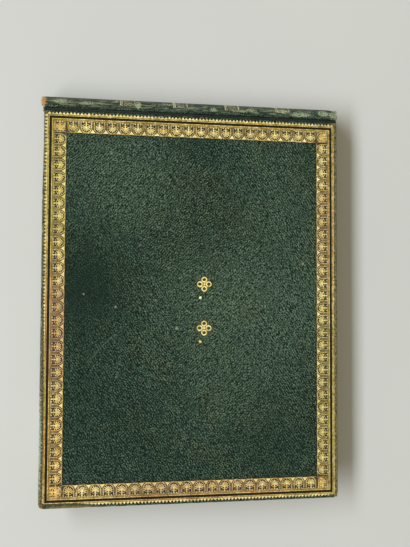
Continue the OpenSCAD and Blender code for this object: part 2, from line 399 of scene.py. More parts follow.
class Graph:
    """A material's node graph."""

    def __init__(self, name: str) -> None:
        """Starts a material.

        Args:
            name: The material's name.
        """
        self.material = bpy.data.materials.new(name)
        self.material.use_nodes = True
        self.tree = self.material.node_tree
        self.tree.nodes.clear()
        self._place: Value | None = None

    def node(self, kind: str, settings: dict[str, Any], inputs: dict[Any, Any], output: Any = 0) -> Value:
        """Adds a node.

        Args:
            kind: The node's type.
            settings: Its properties, set first.
            inputs: Values or links for its sockets, by name or index.
            output: Name or index of the output wanted.

        Returns:
            That output.
        """
        made = self.tree.nodes.new(kind)
        for key, value in settings.items():
            setattr(made, key, value)
        for key, value in inputs.items():
            if isinstance(value, Value):
                self.tree.links.new(value.socket, made.inputs[key])
            elif isinstance(value, tuple) and len(value) == 3 and made.inputs[key].type == "RGBA":
                made.inputs[key].default_value = (*value, 1.0)
            else:
                made.inputs[key].default_value = value
        return Value(self, made.outputs[output])

    @property
    def place(self) -> Value:
        """The place on the piece, in millimetres of the book's frame."""
        if self._place is None:
            where = self.node("ShaderNodeTexCoord", {}, {}, "Object")
            self._place = self.scaled(where, (1 / MM, 1 / MM, 1 / MM))
        return self._place

    def scaled(self, vector: Value, by: Colour) -> Value:
        """A vector multiplied part by part."""
        return self.node("ShaderNodeVectorMath", {"operation": "MULTIPLY"}, {0: vector, 1: by})

    def axes(self) -> tuple[Value, Value, Value]:
        """The place's X, Y and Z."""
        return tuple(self.node("ShaderNodeSeparateXYZ", {}, {0: self.place}, i) for i in range(3))

    def noise(
        self, scale: float, detail: float = 2.0, vector: Value | None = None, roughness: float = 0.5,
    ) -> Value:
        """Noise.

        Args:
            scale: Waves in a millimetre.
            detail: Octaves added.
            vector: Where it is sampled; the place on the piece if left out.
            roughness: Strength of the added octaves.

        Returns:
            About 0.2 to 0.8.
        """
        inputs = {"Vector": vector or self.place, "Scale": scale, "Detail": detail, "Roughness": roughness}
        return self.node("ShaderNodeTexNoise", {}, inputs)

    def warped(self, scale: float, amount: float, stretch: Colour = (1.0, 1.0, 1.0)) -> Value:
        """The place on the piece, stretched and pushed about by noise.

        Args:
            scale: Waves of the push in a millimetre.
            amount: How far it pushes, in millimetres.
            stretch: Factors along the three axes.

        Returns:
            The moved place.
        """
        inputs = {"Vector": self.place, "Scale": scale, "Detail": 1.0}
        push = self.node("ShaderNodeTexNoise", {}, inputs, "Color")
        centred = self.node("ShaderNodeVectorMath", {"operation": "SUBTRACT"}, {0: push, 1: (0.5, 0.5, 0.5)})
        settings = {"operation": "MULTIPLY_ADD"}
        moved = self.node("ShaderNodeVectorMath", settings, {0: centred, 1: (amount,) * 3, 2: self.place})
        return self.scaled(moved, stretch)

    def turned(self, vector: Value, degrees: float, stretch: Colour) -> Value:
        """A vector turned about Z and then stretched along the axes.

        Args:
            vector: The vector.
            degrees: The turn.
            stretch: Factors along the three axes.

        Returns:
            The new vector.
        """
        inputs = {"Vector": vector, "Rotation": (0.0, 0.0, math.radians(degrees)), "Scale": stretch}
        return self.node("ShaderNodeMapping", {"vector_type": "TEXTURE"}, inputs)

    def cells(self, scale: float, vector: Value, feature: str = "F1") -> Value:
        """Distance to the nearest point of a scatter, or to the edge between two of its cells."""
        inputs = {"Vector": vector, "Scale": scale}
        return self.node("ShaderNodeTexVoronoi", {"feature": feature}, inputs, "Distance")

    def spot(self, centre: Point, radii: Point) -> Value:
        """A soft spot.

        Args:
            centre: Its middle, in millimetres.
            radii: How far it reaches along each axis.

        Returns:
            1 in the middle, falling to 0 at the radii.
        """
        by = tuple(1 / r for r in radii)
        shift = tuple(-c / r for c, r in zip(centre, radii))
        settings = {"operation": "MULTIPLY_ADD"}
        moved = self.node("ShaderNodeVectorMath", settings, {0: self.place, 1: by, 2: shift})
        far = self.node("ShaderNodeVectorMath", {"operation": "LENGTH"}, {0: moved}, "Value")
        return far.ramp(1.0, 0.0)

    def mix(self, factor: Any, first: Any, second: Any) -> Value:
        """Blends two colours; 0 gives the first and 1 the second."""
        return self.node("ShaderNodeMix", {"data_type": "RGBA"}, {0: factor, 6: first, 7: second}, 2)

    def bump(self, height: Value, depth: float, strength: float = 1.0) -> Value:
        """A surface's relief.

        Args:
            height: 0 to 1.
            depth: Height of 1, in millimetres.
            strength: How much of it shows.

        Returns:
            The bent normal.
        """
        inputs = {"Height": height, "Distance": depth * MM, "Strength": strength}
        return self.node("ShaderNodeBump", {}, inputs)

    def finish(self, **sockets: Any) -> bpy.types.Material:
        """Ends the graph in a shader.

        Args:
            **sockets: Values for the shader's sockets, with _ for a space.

        Returns:
            The material.
        """
        named = {key.replace("_", " "): value for key, value in sockets.items()}
        shader = self.node("ShaderNodeBsdfPrincipled", {}, named)
        self.node_output(shader)
        return self.material

    def node_output(self, shader: Value) -> None:
        """Links a shader to the material's output."""
        output = self.tree.nodes.new("ShaderNodeOutputMaterial")
        self.tree.links.new(shader.socket, output.inputs["Surface"])


@dataclass(frozen=True)
class Scuff:
    """A rubbed patch on the leather, in millimetres of the book's frame."""

    x: float
    y: float
    reach_x: float
    reach_y: float
    strength: float = 1.0
    reach_z: float = 12.0
    z: float = 20.0


@dataclass(frozen=True)
class Morocco:
    """Grained green goatskin, polished by use and rubbed at its edges."""

    # near-black; used as painted shade in the grain's creases and in the joint grooves, and for dark streaks
    # on the back
    deep: Colour = (0.0020, 0.0058, 0.0028)
    green: Colour = (0.0230, 0.0460, 0.0250)
    # painted highlight: the colour of glints on the grain's crests and of the lighter patches of the field
    painted_glint: Colour = (0.1680, 0.2580, 0.1760)
    shaded: Colour = (0.0030, 0.0150, 0.0092)
    teal: Colour = (0.0125, 0.0400, 0.0290)
    olive: Colour = (0.0315, 0.0490, 0.0240)
    rubbed: Colour = (0.3900, 0.4500, 0.3000)
    raw: Colour = (0.5000, 0.2500, 0.0750)
    ochre: Colour = (0.2600, 0.2000, 0.0600)
    gilt_ground: Colour = (0.0800, 0.0520, 0.0120)
    dusted: Colour = (0.3000, 0.2200, 0.0850)
    # painted sheen: pale highlight colour along the back's upper shoulder
    sheen_highlight: Colour = (0.2500, 0.2700, 0.1600)
    seam: Colour = (0.0160, 0.0110, 0.0022)
    grain: float = 0.92
    fine_grain: float = 1.7
    ripple: float = 4.0
    stretch: Colour = (1.50, 0.88, 1.0)
    turns: Flat = (-46.0, 36.0)
    roughness: float = 0.46

    def grained(self, graph: Graph) -> tuple[Value, Value]:
        """The grain of the skin.

        Args:
            graph: The material's graph.

        Returns:
            The relief's height, and how far a spot is up on a pebble.
        """
        pushed = graph.warped(0.10, 3.0)
        ways = [graph.turned(pushed, turn, self.stretch) for turn in self.turns]
        first, second = (self.pebbles(graph, where) for where in ways)
        height = first + (second - first) * graph.noise(0.012, 1.0).ramp(0.46, 0.54)
        return height, (height + 0.30).ramp(-0.05, 1.25)

    def pebbles(self, graph: Graph, where: Value) -> Value:
        """Relief of the grain, creased along one way.

        Args:
            graph: The material's graph.
            where: Where it is sampled.

        Returns:
            The relief's height.
        """
        pebble = graph.cells(self.grain, where, "DISTANCE_TO_EDGE")
        fine = graph.noise(self.fine_grain, 1.0, where)
        across = graph.node("ShaderNodeSeparateXYZ", {}, {0: where}, 1)
        crease = (across * self.ripple + graph.noise(0.70, 1.0) * 11.0).sine()
        return pebble.smallest(0.26) * 2.0 + (fine - 0.5) * 1.4 + crease * 0.22

    def tinted(self, graph: Graph, crests: Value) -> Value:
        """The colour of the sound leather, with painted highlights on the crests of the pebbles and painted
        shade in the creases between them.

        Args:
            graph: The material's graph.
            crests: How far a spot is up on a pebble.

        Returns:
            The colour.
        """
        broad = graph.noise(0.022, 3.0)
        shifted = graph.mix(broad.ramp(0.42, 0.62), self.green, self.teal)
        faded = graph.noise(0.035, 2.0, graph.warped(0.01, 40.0)).ramp(0.52, 0.72)
        shifted = graph.mix(faded, shifted, self.olive)
        patchy = graph.noise(0.10, 2.0).ramp(0.30, 0.70) * 0.2 + 0.5
        # painted highlight: the crests of the pebbles lightened as if catching the light
        lit = graph.mix(crests.ramp(0.50, 0.92) * patchy, shifted, self.painted_glint)
        # painted shade: the creases between the pebbles darkened
        return graph.mix(crests.ramp(0.56, 0.24), lit, self.deep)


def rub(graph: Graph, mask: Value, grain: float = 1.1) -> Value:
    """Breaks a smooth mask of wear up into flecks.

    Args:
        graph: The material's graph.
        mask: 0 to 1 where the wear is.
        grain: Flecks in a millimetre.

    Returns:
        The flecked mask.
    """
    flecks = graph.noise(grain, 4.0, graph.warped(0.5, 1.5), roughness=0.72)
    return (mask * 0.55 + (flecks - 0.5) * 1.9).ramp(0.22, 0.62) * mask.ramp(0.0, 0.2)


@dataclass(frozen=True)
class CoverLeather(Morocco):
    """The skin of a cover, with toned ground under the gilt border, and painted light and painted shade in
    broad patches over the field.
    """

    face_depth: float = 0.5
    halos: tuple[Flat, ...] = ((102.2, 6.2), (128.6, 6.2))
    ground_from: float = 2.45
    ground_to: float = 3.62
    roll_from: float = 5.10
    roll_to: float = 13.55
    # painted light: broad lighter patches of the field, as (x, y, reach, amount)
    painted_light_patches: tuple[tuple[float, float, float, float], ...] = (
        (-75.0, -44.0, 62.0, 0.75), (-70.0, 52.0, 55.0, 0.4), (0.0, 50.0, 76.0, 0.85),
        (-2.0, 4.0, 50.0, 0.6), (50.0, 16.0, 60.0, 0.45),
    )
    shade: tuple[tuple[float, float, float, float], ...] = (
        (-6.0, -66.0, 56.0, 0.80), (60.0, -70.0, 60.0, 0.35), (85.0, -30.0, 50.0, 0.25),
        (92.0, 50.0, 50.0, 0.3),
        (-100.0, 0.0, 36.0, 0.2), (-30.0, 12.0, 30.0, 0.15),
    )

    def material(self, book: Book, side: Side) -> bpy.types.Material:
        """Makes the material.

        Args:
            book: The book's sizes.
            side: Which cover it is for.

        Returns:
            The material.
        """
        graph = Graph(f"{side.value}_cover_leather")
        x, y, z = graph.axes()
        from_edge = (book.half_w - abs(x - book.cover_x)).smallest(book.half_h - abs(y))
        height, crests = self.grained(graph)
        colour = self.tinted(graph, crests)
        # painted light: lighter patches on the field, the crests lit more
        for where_x, where_y, reach, amount in self.painted_light_patches:
            cloud = graph.spot((where_x, where_y, book.mid_z), (reach, reach, FAR)) * amount * crests
            colour = graph.mix(cloud * graph.noise(0.6, 3.0).ramp(0.35, 0.65), colour, self.painted_glint)
        for where_x, where_y, reach, amount in self.shade:
            cloud = graph.spot((where_x, where_y, book.mid_z), (reach, reach * 0.8, FAR)) * amount
            colour = graph.mix(cloud, colour, self.shaded)
        outer_band = from_edge.ramp(self.ground_from, self.ground_from + 0.2)
        outer_band = outer_band * from_edge.ramp(self.ground_to, self.ground_to - 0.2)
        roll_band = from_edge.ramp(self.roll_from, self.roll_from + 0.2)
        roll_band = roll_band * from_edge.ramp(self.roll_to, self.roll_to - 0.15)
        face = book.thickness - self.face_depth
        outward = z if side is Side.FRONT else book.thickness - z
        outside = outward.ramp(face - 0.2, face)
        ground = (outer_band + roll_band) * graph.noise(1.6, 3.0).ramp(0.25, 0.6) * outside
        colour = graph.mix(ground * 0.85, colour, self.gilt_ground)
        margin = from_edge.ramp(2.7, 2.3) * abs(y).ramp(book.half_h - 2.9, book.half_h - 2.6)
        margin = margin * y.ramp(-0.4 - book.half_h, 0.6 - book.half_h) * (y.ramp(-1.0, 1.0) * 0.35 + 0.45)
        colour = graph.mix(margin * graph.noise(0.95, 3.0).ramp(0.38, 0.54) * outside, colour, self.dusted)
        seam = from_edge.ramp(self.ground_to - 0.15, self.ground_to)
        seam = seam * from_edge.ramp(self.roll_from + 0.1, self.roll_from)
        pressed = from_edge.ramp(self.roll_to - 0.1, self.roll_to)
        pressed = pressed * from_edge.ramp(self.roll_to + 0.7, self.roll_to)
        colour = graph.mix((seam * 0.95).largest(pressed * 0.75) * outside, colour, self.seam)
        arris = abs(abs(z - book.mid_z) - (book.mid_z - book.cover_t / 2)).ramp(0.6, book.cover_t / 2)
        rim = from_edge.ramp(1.5, 0.2) * graph.noise(0.16, 3.0).ramp(0.36, 0.68) * (arris * 0.6 + 0.4)
        colour = graph.mix(rub(graph, rim, 1.1) * 0.7, colour, self.rubbed)
        tail_rub = graph.spot((84.0, -book.half_h, book.mid_z), (64.0, 3.4, 30.0)) * 1.5
        colour = graph.mix(rub(graph, tail_rub, 0.9) * 0.85, colour, self.rubbed)
        stained = graph.spot((119.0, -book.half_h, book.mid_z), (13.0, 3.6, 30.0))
        stained = stained.largest(graph.spot((book.fore_x, -72.0, book.mid_z), (3.8, 32.0, 30.0)) * 1.8)
        colour = graph.mix(rub(graph, stained, 0.9) * 0.8, colour, self.ochre)
        for from_joint, halo_y in self.halos:
            halo = graph.spot((book.joint_x + from_joint, halo_y, book.thickness), (8.0, 8.0, 4.0))
            colour = graph.mix(halo * 0.5, colour, self.gilt_ground)
        corner = graph.spot((book.fore_x, -book.half_h, book.mid_z), (7.0, 6.0, 30.0))
        corner = corner + graph.spot((book.fore_x, book.half_h, book.mid_z), (5.0, 5.0, 30.0))
        colour = graph.mix(rub(graph, corner, 0.9) * 0.9, colour, self.raw)
        scratch = self.scratches(graph)
        colour = graph.mix(scratch, colour, self.rubbed)
        sheen = 0.12 * graph.noise(0.5, 2.0) + self.roughness - 0.08 * crests
        return graph.finish(
            Base_Color=colour, Roughness=sheen.largest(0.3), Specular_IOR_Level=0.10,
            Normal=graph.bump(height, 0.26, 0.95),
        )

    def scratches(self, graph: Graph) -> Value:
        """Pale flecks and one faint curved scratch in the field.

        Args:
            graph: The material's graph.

        Returns:
            A mask.
        """
        flecks = (
            (-86.6, -50.0, 1.7, 0.45), (-2.7, -65.4, 1.0, 0.9), (4.9, -46.8, 1.2, 1.0),
            (17.4, -10.4, 1.6, 1.0), (-18.7, -15.2, 1.4, 0.4), (0.9, -23.0, 1.2, 0.45),
            (-32.0, -32.7, 1.5, 0.4), (-53.0, -10.0, 1.5, 0.35), (-22.0, 67.7, 1.3, 0.9),
            (46.0, -46.0, 1.0, 0.6), (70.0, 34.0, 1.0, 0.5), (-60.0, 40.0, 1.2, 0.4),
        )
        mask: Value | None = None
        for x, y, size, amount in flecks:
            spot = graph.spot((x, y, 20.0), (size, size * 0.85, 6.0)) * amount
            mask = spot if mask is None else mask + spot
        centre = graph.spot((75.8, -5.7, 20.0), (97.2, 97.2, 97.2))
        ring = centre.ramp(0.2075, 0.2125) * centre.ramp(0.2175, 0.2125)
        here = graph.spot((27.0, -51.0, 20.0), (21.0, 21.0, 8.0))
        return (mask * 0.7 + ring * here * 0.4 * graph.noise(0.8, 3.0).ramp(0.35, 0.6)).smallest(1.0)


@dataclass(frozen=True)
class BackLeather(Morocco):
    """The skin over the back: smoother, darker and scuffed along the shoulders, with a painted sheen along
    the upper shoulder and painted shade in the groove.
    """

    scuffs: tuple[Scuff, ...] = (
        Scuff(-116.8, -34.4, 4.4, 3.0, 2.2),
        Scuff(-119.2, -47.0, 3.0, 4.6, 1.2),
        Scuff(-116.2, 11.5, 2.6, 3.6, 1.5),
        Scuff(-117.0, 35.5, 2.0, 6.5, 1.2),
        Scuff(-115.6, 66.5, 2.6, 9.5, 2.2),
        Scuff(-117.2, 56.0, 3.0, 6.4, 1.5),
        Scuff(-117.2, 81.5, 3.6, 5.6, 2.0),
        Scuff(-116.4, 89.0, 5.0, 6.0, 1.5),
        Scuff(-117.4, -80.0, 3.6, 10.5, 1.1),
        Scuff(-116.6, -64.0, 2.2, 14.0, 0.9),
        Scuff(-116.0, 30.0, 2.0, 18.0, 0.8),
        Scuff(-118.4, -16.0, 2.6, 14.0, 0.8),
    )

    def material(self, book: Book) -> bpy.types.Material:
        """Makes the material.

        Args:
            book: The book's sizes.

        Returns:
            The material.
        """
        graph = Graph("spine_leather_grain")
        x, y, z = graph.axes()
        height, crests = self.grained(graph)
        colour = self.tinted(graph, crests)
        along = graph.noise(0.85, 3.0, graph.scaled(graph.place, (1.0, 0.14, 1.0)), roughness=0.68)
        colour = graph.mix(along.ramp(0.50, 0.34) * 0.7, colour, self.deep)
        # painted sheen: a pale streaky highlight along the upper shoulder of the back
        shine = (graph.spot((-117.0, 0.0, book.thickness - 1.5), (4.2, FAR, 6.0)) * 1.6).smallest(1.0)
        colour = graph.mix(shine * along.ramp(0.48, 0.62) * 0.82, colour, self.sheen_highlight)
        worn: Value | None = None
        for scuff in self.scuffs:
            spot = graph.spot((scuff.x, scuff.y, scuff.z), (scuff.reach_x, scuff.reach_y, scuff.reach_z))
            spot = spot * scuff.strength
            worn = spot if worn is None else worn.largest(spot)
        worn = worn.smallest(0.85)
        colour = graph.mix(rub(graph, worn, 1.1) * 0.95, colour, self.rubbed)
        ends = abs(y).ramp(book.half_h - 1.6, book.half_h - 0.2)
        colour = graph.mix(rub(graph, ends, 0.8) * 0.8, colour, self.rubbed)
        cap = graph.spot((-116.5, -book.half_h - 1.0, 17.0), (7.0, 4.4, 9.0))
        colour = graph.mix(rub(graph, cap * 1.9, 0.7) * 0.9, colour, self.raw)
        # painted shade: the leather darkened in the joint groove beside the back
        depth = (book.thickness - z).smallest(z)
        groove = depth.ramp(0.7, 1.2) * (x + 114.6).ramp(0.0, 0.8)
        colour = graph.mix(groove * 0.85, colour, self.deep)
        sheen = self.roughness + 0.02 + 0.2 * rub(graph, worn, 0.75) - 0.06 * crests
        return graph.finish(
            Base_Color=colour, Roughness=sheen, Specular_IOR_Level=0.18,
            Normal=graph.bump(height, 0.16, 0.85),
        )


@dataclass(frozen=True)
class JointLeather(Morocco):
    """The skin in the joint grooves: creased, and painted near-black as shade in the groove."""

    def material(self, name: str) -> bpy.types.Material:
        """Makes the material."""
        graph = Graph(name)
        creases = graph.noise(1.4, 3.0, graph.scaled(graph.place, (1.0, 0.12, 1.0)))
        # painted shade: near-black skin, a little lighter along the creases
        colour = graph.mix(creases.ramp(0.45, 0.7) * 0.5, self.deep, self.green)
        return graph.finish(
            Base_Color=colour, Roughness=0.5 + 0.1 * creases, Specular_IOR_Level=0.35,
            Normal=graph.bump(creases, 0.12),
        )


@dataclass(frozen=True)
class Gilt:
    """Gold leaf tooled into leather, in one of the border's tones."""

    bright: Colour = (0.70, 0.48, 0.09)
    # pale: painted highlight colour, standing for glints of the leaf
    pale: Colour = (1.00, 0.86, 0.44)
    brown: Colour = (0.24, 0.145, 0.035)
    rosy: Colour = (0.62, 0.32, 0.16)
    lemon: Colour = (0.66, 0.58, 0.11)
    orange: Colour = (0.86, 0.42, 0.06)
    leather: Colour = (0.040, 0.030, 0.009)
    wear: float = 0.50
    shine: float = 1.0
    tinting: float = 1.0
    bare: tuple[tuple[Point, Point, float], ...] = ()

    def material(self, name: str, book: Book) -> bpy.types.Material:
        """Makes the material.

        Args:
            name: The material's name.
            book: The book's sizes.

        Returns:
            The material.
        """
        graph = Graph(name)
        mottled = graph.noise(0.62, 4.0, roughness=0.68)
        # painted highlight: the pale share stands for glints of the gold leaf
        colour = graph.mix(mottled.ramp(0.46, 0.64), self.bright, self.pale)
        colour = graph.mix(mottled.ramp(0.50, 0.32) * 0.75, colour, self.brown)
        tail, head = -book.half_h + 9.0, book.half_h - 9.0
        tones = (
            ((-75.0, tail, 10.0), (70.0, 26.0, 200.0), self.lemon, 0.52),
            ((18.0, tail, 10.0), (48.0, 24.0, 200.0), self.rosy, 0.66),
            ((90.0, tail, 10.0), (36.0, 24.0, 200.0), self.orange, 0.34),
            ((book.fore_x - 8.0, 0.0, 10.0), (22.0, 95.0, 200.0), self.rosy, 0.42),
            ((60.0, head, 10.0), (80.0, 22.0, 200.0), self.lemon, 0.30),
            ((-40.0, head, 10.0), (40.0, 22.0, 200.0), self.rosy, 0.30),
            ((0.0, tail, 10.0), (FAR, 14.0, 200.0), self.brown, 0.24),
        )
        for centre, radii, tone, amount in tones:
            reach = (graph.spot(centre, radii) * 1.6).smallest(1.0)
            colour = graph.mix(reach * (amount * self.tinting), colour, tone)
        flecks = graph.noise(0.30, 3.0).ramp(0.60, 0.72)
        colour = graph.mix(flecks * (0.4 * self.tinting), colour, self.orange)
        corners = (
            (book.joint_x + 10.0, -book.half_h + 10.0), (book.joint_x + 10.0, book.half_h - 10.0),
            (book.fore_x - 10.0, -book.half_h + 10.0), (book.fore_x - 10.0, book.half_h - 10.0),
        )
        for x, y in corners:
            colour = graph.mix(graph.spot((x, y, 10.0), (7.0, 7.0, 200.0)) * 0.3, colour, self.orange)
        uneven = graph.noise(1.5, 4.0, roughness=0.7) + graph.noise(0.12, 2.0) * 0.5
        rubbed = uneven.ramp(0.72, 0.88) * self.wear
        for centre, radii, amount in self.bare:
            patch = (graph.spot(centre, radii) * 2.2).smallest(1.0) * amount
            ragged = patch + (graph.noise(0.8, 4.0, roughness=0.7) - 0.5) * 1.5
            rubbed = rubbed.largest(ragged.ramp(0.25, 0.75))
        colour = graph.mix(rubbed, colour, self.leather)
        height = graph.noise(1.2, 3.0) + graph.noise(0.25, 2.0)
        return graph.finish(
            Base_Color=colour, Metallic=(1 - rubbed) * 0.72 * self.shine,
            Roughness=0.36 + 0.3 * mottled, Normal=graph.bump(height, 0.12, 0.7),
        )


@dataclass(frozen=True)
class Ground:
    """The leather between the gilt shapes of the roll, toned by stray gold or left dark."""

    light: Colour
    dark: Colour
    metal: float = 0.0

    def material(self, name: str) -> bpy.types.Material:
        """Makes the material."""
        graph = Graph(name)
        stray = graph.noise(1.1, 4.0, roughness=0.7).ramp(0.36, 0.64)
        colour = graph.mix(stray, self.dark, self.light)
        return graph.finish(
            Base_Color=colour, Metallic=stray * self.metal, Roughness=0.55 - 0.15 * stray,
            Normal=graph.bump(graph.noise(2.0, 3.0), 0.10),
        )


@dataclass(frozen=True)
class Paper:
    """Aged wove paper, toned towards its edges."""

    sheet: Colour = (0.70, 0.615, 0.455)
    toned: Colour = (0.47, 0.345, 0.185)
    foxed: Colour = (0.36, 0.21, 0.085)

    def material(self, name: str, low: Vector, high: Vector, rim: float = 9.0) -> bpy.types.Material:
        """Makes the material for a sheet that lies flat.

        Args:
            name: The material's name.
            low: The sheet's lowest corner.
            high: Its highest corner.
            rim: Width of the toned rim.

        Returns:
            The material.
        """
        graph = Graph(name)
        x, y, _ = graph.axes()
        half_x, half_y = (high.x - low.x) / 2, (high.y - low.y) / 2
        from_edge = (half_x - abs(x - (low.x + half_x))).smallest(half_y - abs(y - (low.y + half_y)))
        fibres = graph.noise(1.5, 5.0, graph.scaled(graph.place, (1.0, 0.35, 1.0)))
        uneven = graph.noise(0.05, 3.0)
        colour = graph.mix(fibres.ramp(0.3, 0.7) * 0.22, self.sheet, self.toned)
        edge_tone = (from_edge + uneven * 6.0).ramp(rim + 3.0, 2.0)
        colour = graph.mix(edge_tone * 0.55, colour, self.toned)
        spots = graph.cells(0.045, graph.warped(0.08, 5.0)).ramp(0.09, 0.03)
        spots = spots * graph.noise(0.6, 3.0).ramp(0.4, 0.7)
        colour = graph.mix(spots * 0.5, colour, self.foxed)
        return graph.finish(
            Base_Color=colour, Roughness=0.86, Specular_IOR_Level=0.25,
            Normal=graph.bump(fibres, 0.05),
        )


@dataclass(frozen=True)
class LeafEdges(Paper):
    """The trimmed edges of the leaves: fine lines, dusty towards the top."""

    shadow: Colour = (0.21, 0.145, 0.075)

    def material(self, name: str) -> bpy.types.Material:
        """Makes the material.

        Args:
            name: The material's name.

        Returns:
            The material.
        """
        graph = Graph(name)
        layered = graph.scaled(graph.place, (0.012, 0.012, 3.4))
        leaves = graph.noise(1.0, 4.0, layered, roughness=0.75)
        sections = graph.noise(1.0, 1.0, graph.scaled(graph.place, (0.004, 0.004, 0.9)))
        colour = graph.mix(leaves.ramp(0.40, 0.60), self.toned, self.sheet)
        colour = graph.mix(leaves.ramp(0.40, 0.30) * 0.8, colour, self.shadow)
        colour = graph.mix(sections.ramp(0.42, 0.34) * 0.45, colour, self.shadow)
        dust = graph.noise(0.06, 4.0).ramp(0.45, 0.75)
        colour = graph.mix(dust * 0.4, colour, self.toned)
        return graph.finish(
            Base_Color=colour, Roughness=0.85, Specular_IOR_Level=0.2,
            Normal=graph.bump(leaves, 0.10),
        )


@dataclass(frozen=True)
class Silk:
    """Thread wound over the endbands, in two colours by turns."""

    first: Colour = (0.55, 0.46, 0.28)
    second: Colour = (0.055, 0.115, 0.075)
    turns: float = 56.0

    def material(self, name: str, book: Book) -> bpy.types.Material:
        """Makes the material.

        Args:
            name: The material's name.
            book: The book's sizes.

        Returns:
            The material.
        """
        graph = Graph(name)
        x, _, z = graph.axes()
        angle = (z - book.mid_z).angle_from(book.back_x - x)
        wound = (angle * self.turns).sine()
        colour = graph.mix((angle * (self.turns / 4)).sine().ramp(-0.15, 0.15), self.first, self.second)
        return graph.finish(
            Base_Color=colour, Roughness=0.5 + 0.1 * wound, Sheen_Weight=0.3,
            Normal=graph.bump(wound, 0.08),
        )


@dataclass(frozen=True)
class Plain:
    """A matt inner material with fibres, such as millboard, lining or cord."""

    light: Colour
    dark: Colour
    stretch: Colour = (1.0, 1.0, 1.0)

    def material(self, name: str) -> bpy.types.Material:
        """Makes the material."""
        graph = Graph(name)
        fibres = graph.noise(0.9, 5.0, graph.scaled(graph.place, self.stretch), roughness=0.7)
        colour = graph.mix(fibres.ramp(0.3, 0.7), self.dark, self.light)
        return graph.finish(Base_Color=colour, Roughness=0.88, Normal=graph.bump(fibres, 0.12))


def settle(piece: bpy.types.Object, body: str, slot: str, *nodes: str) -> bpy.types.Object:
    """Fixes a piece to its body and hides the frame nodes that it replaces.

    Args:
        piece: The new piece.
        body: The body that it rides on.
        slot: Not used.
        *nodes: Frame nodes that it replaces.

    Returns:
        The piece.
    """
    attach(piece, body)
    if nodes:
        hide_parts(*nodes)
    return piece


def spread(length: float, step: float) -> list[float]:
    """Places along an edge, from 0 to 1, closer together at its ends.

    Args:
        length: The edge's length.
        step: Distance between places in the middle.

    Returns:
        The places as shares of the length.
    """
    fine = [0.0, 0.35, 0.7, 1.05, 1.4, 1.8, 2.6, 4.0]
    middle = round((length - 2 * fine[-1]) / step)
    run = (length - 2 * fine[-1]) / middle
    places = fine + [fine[-1] + run * (i + 1) for i in range(middle - 1)]
    places += [length - p for p in reversed(fine)]
    return [p / length for p in places]


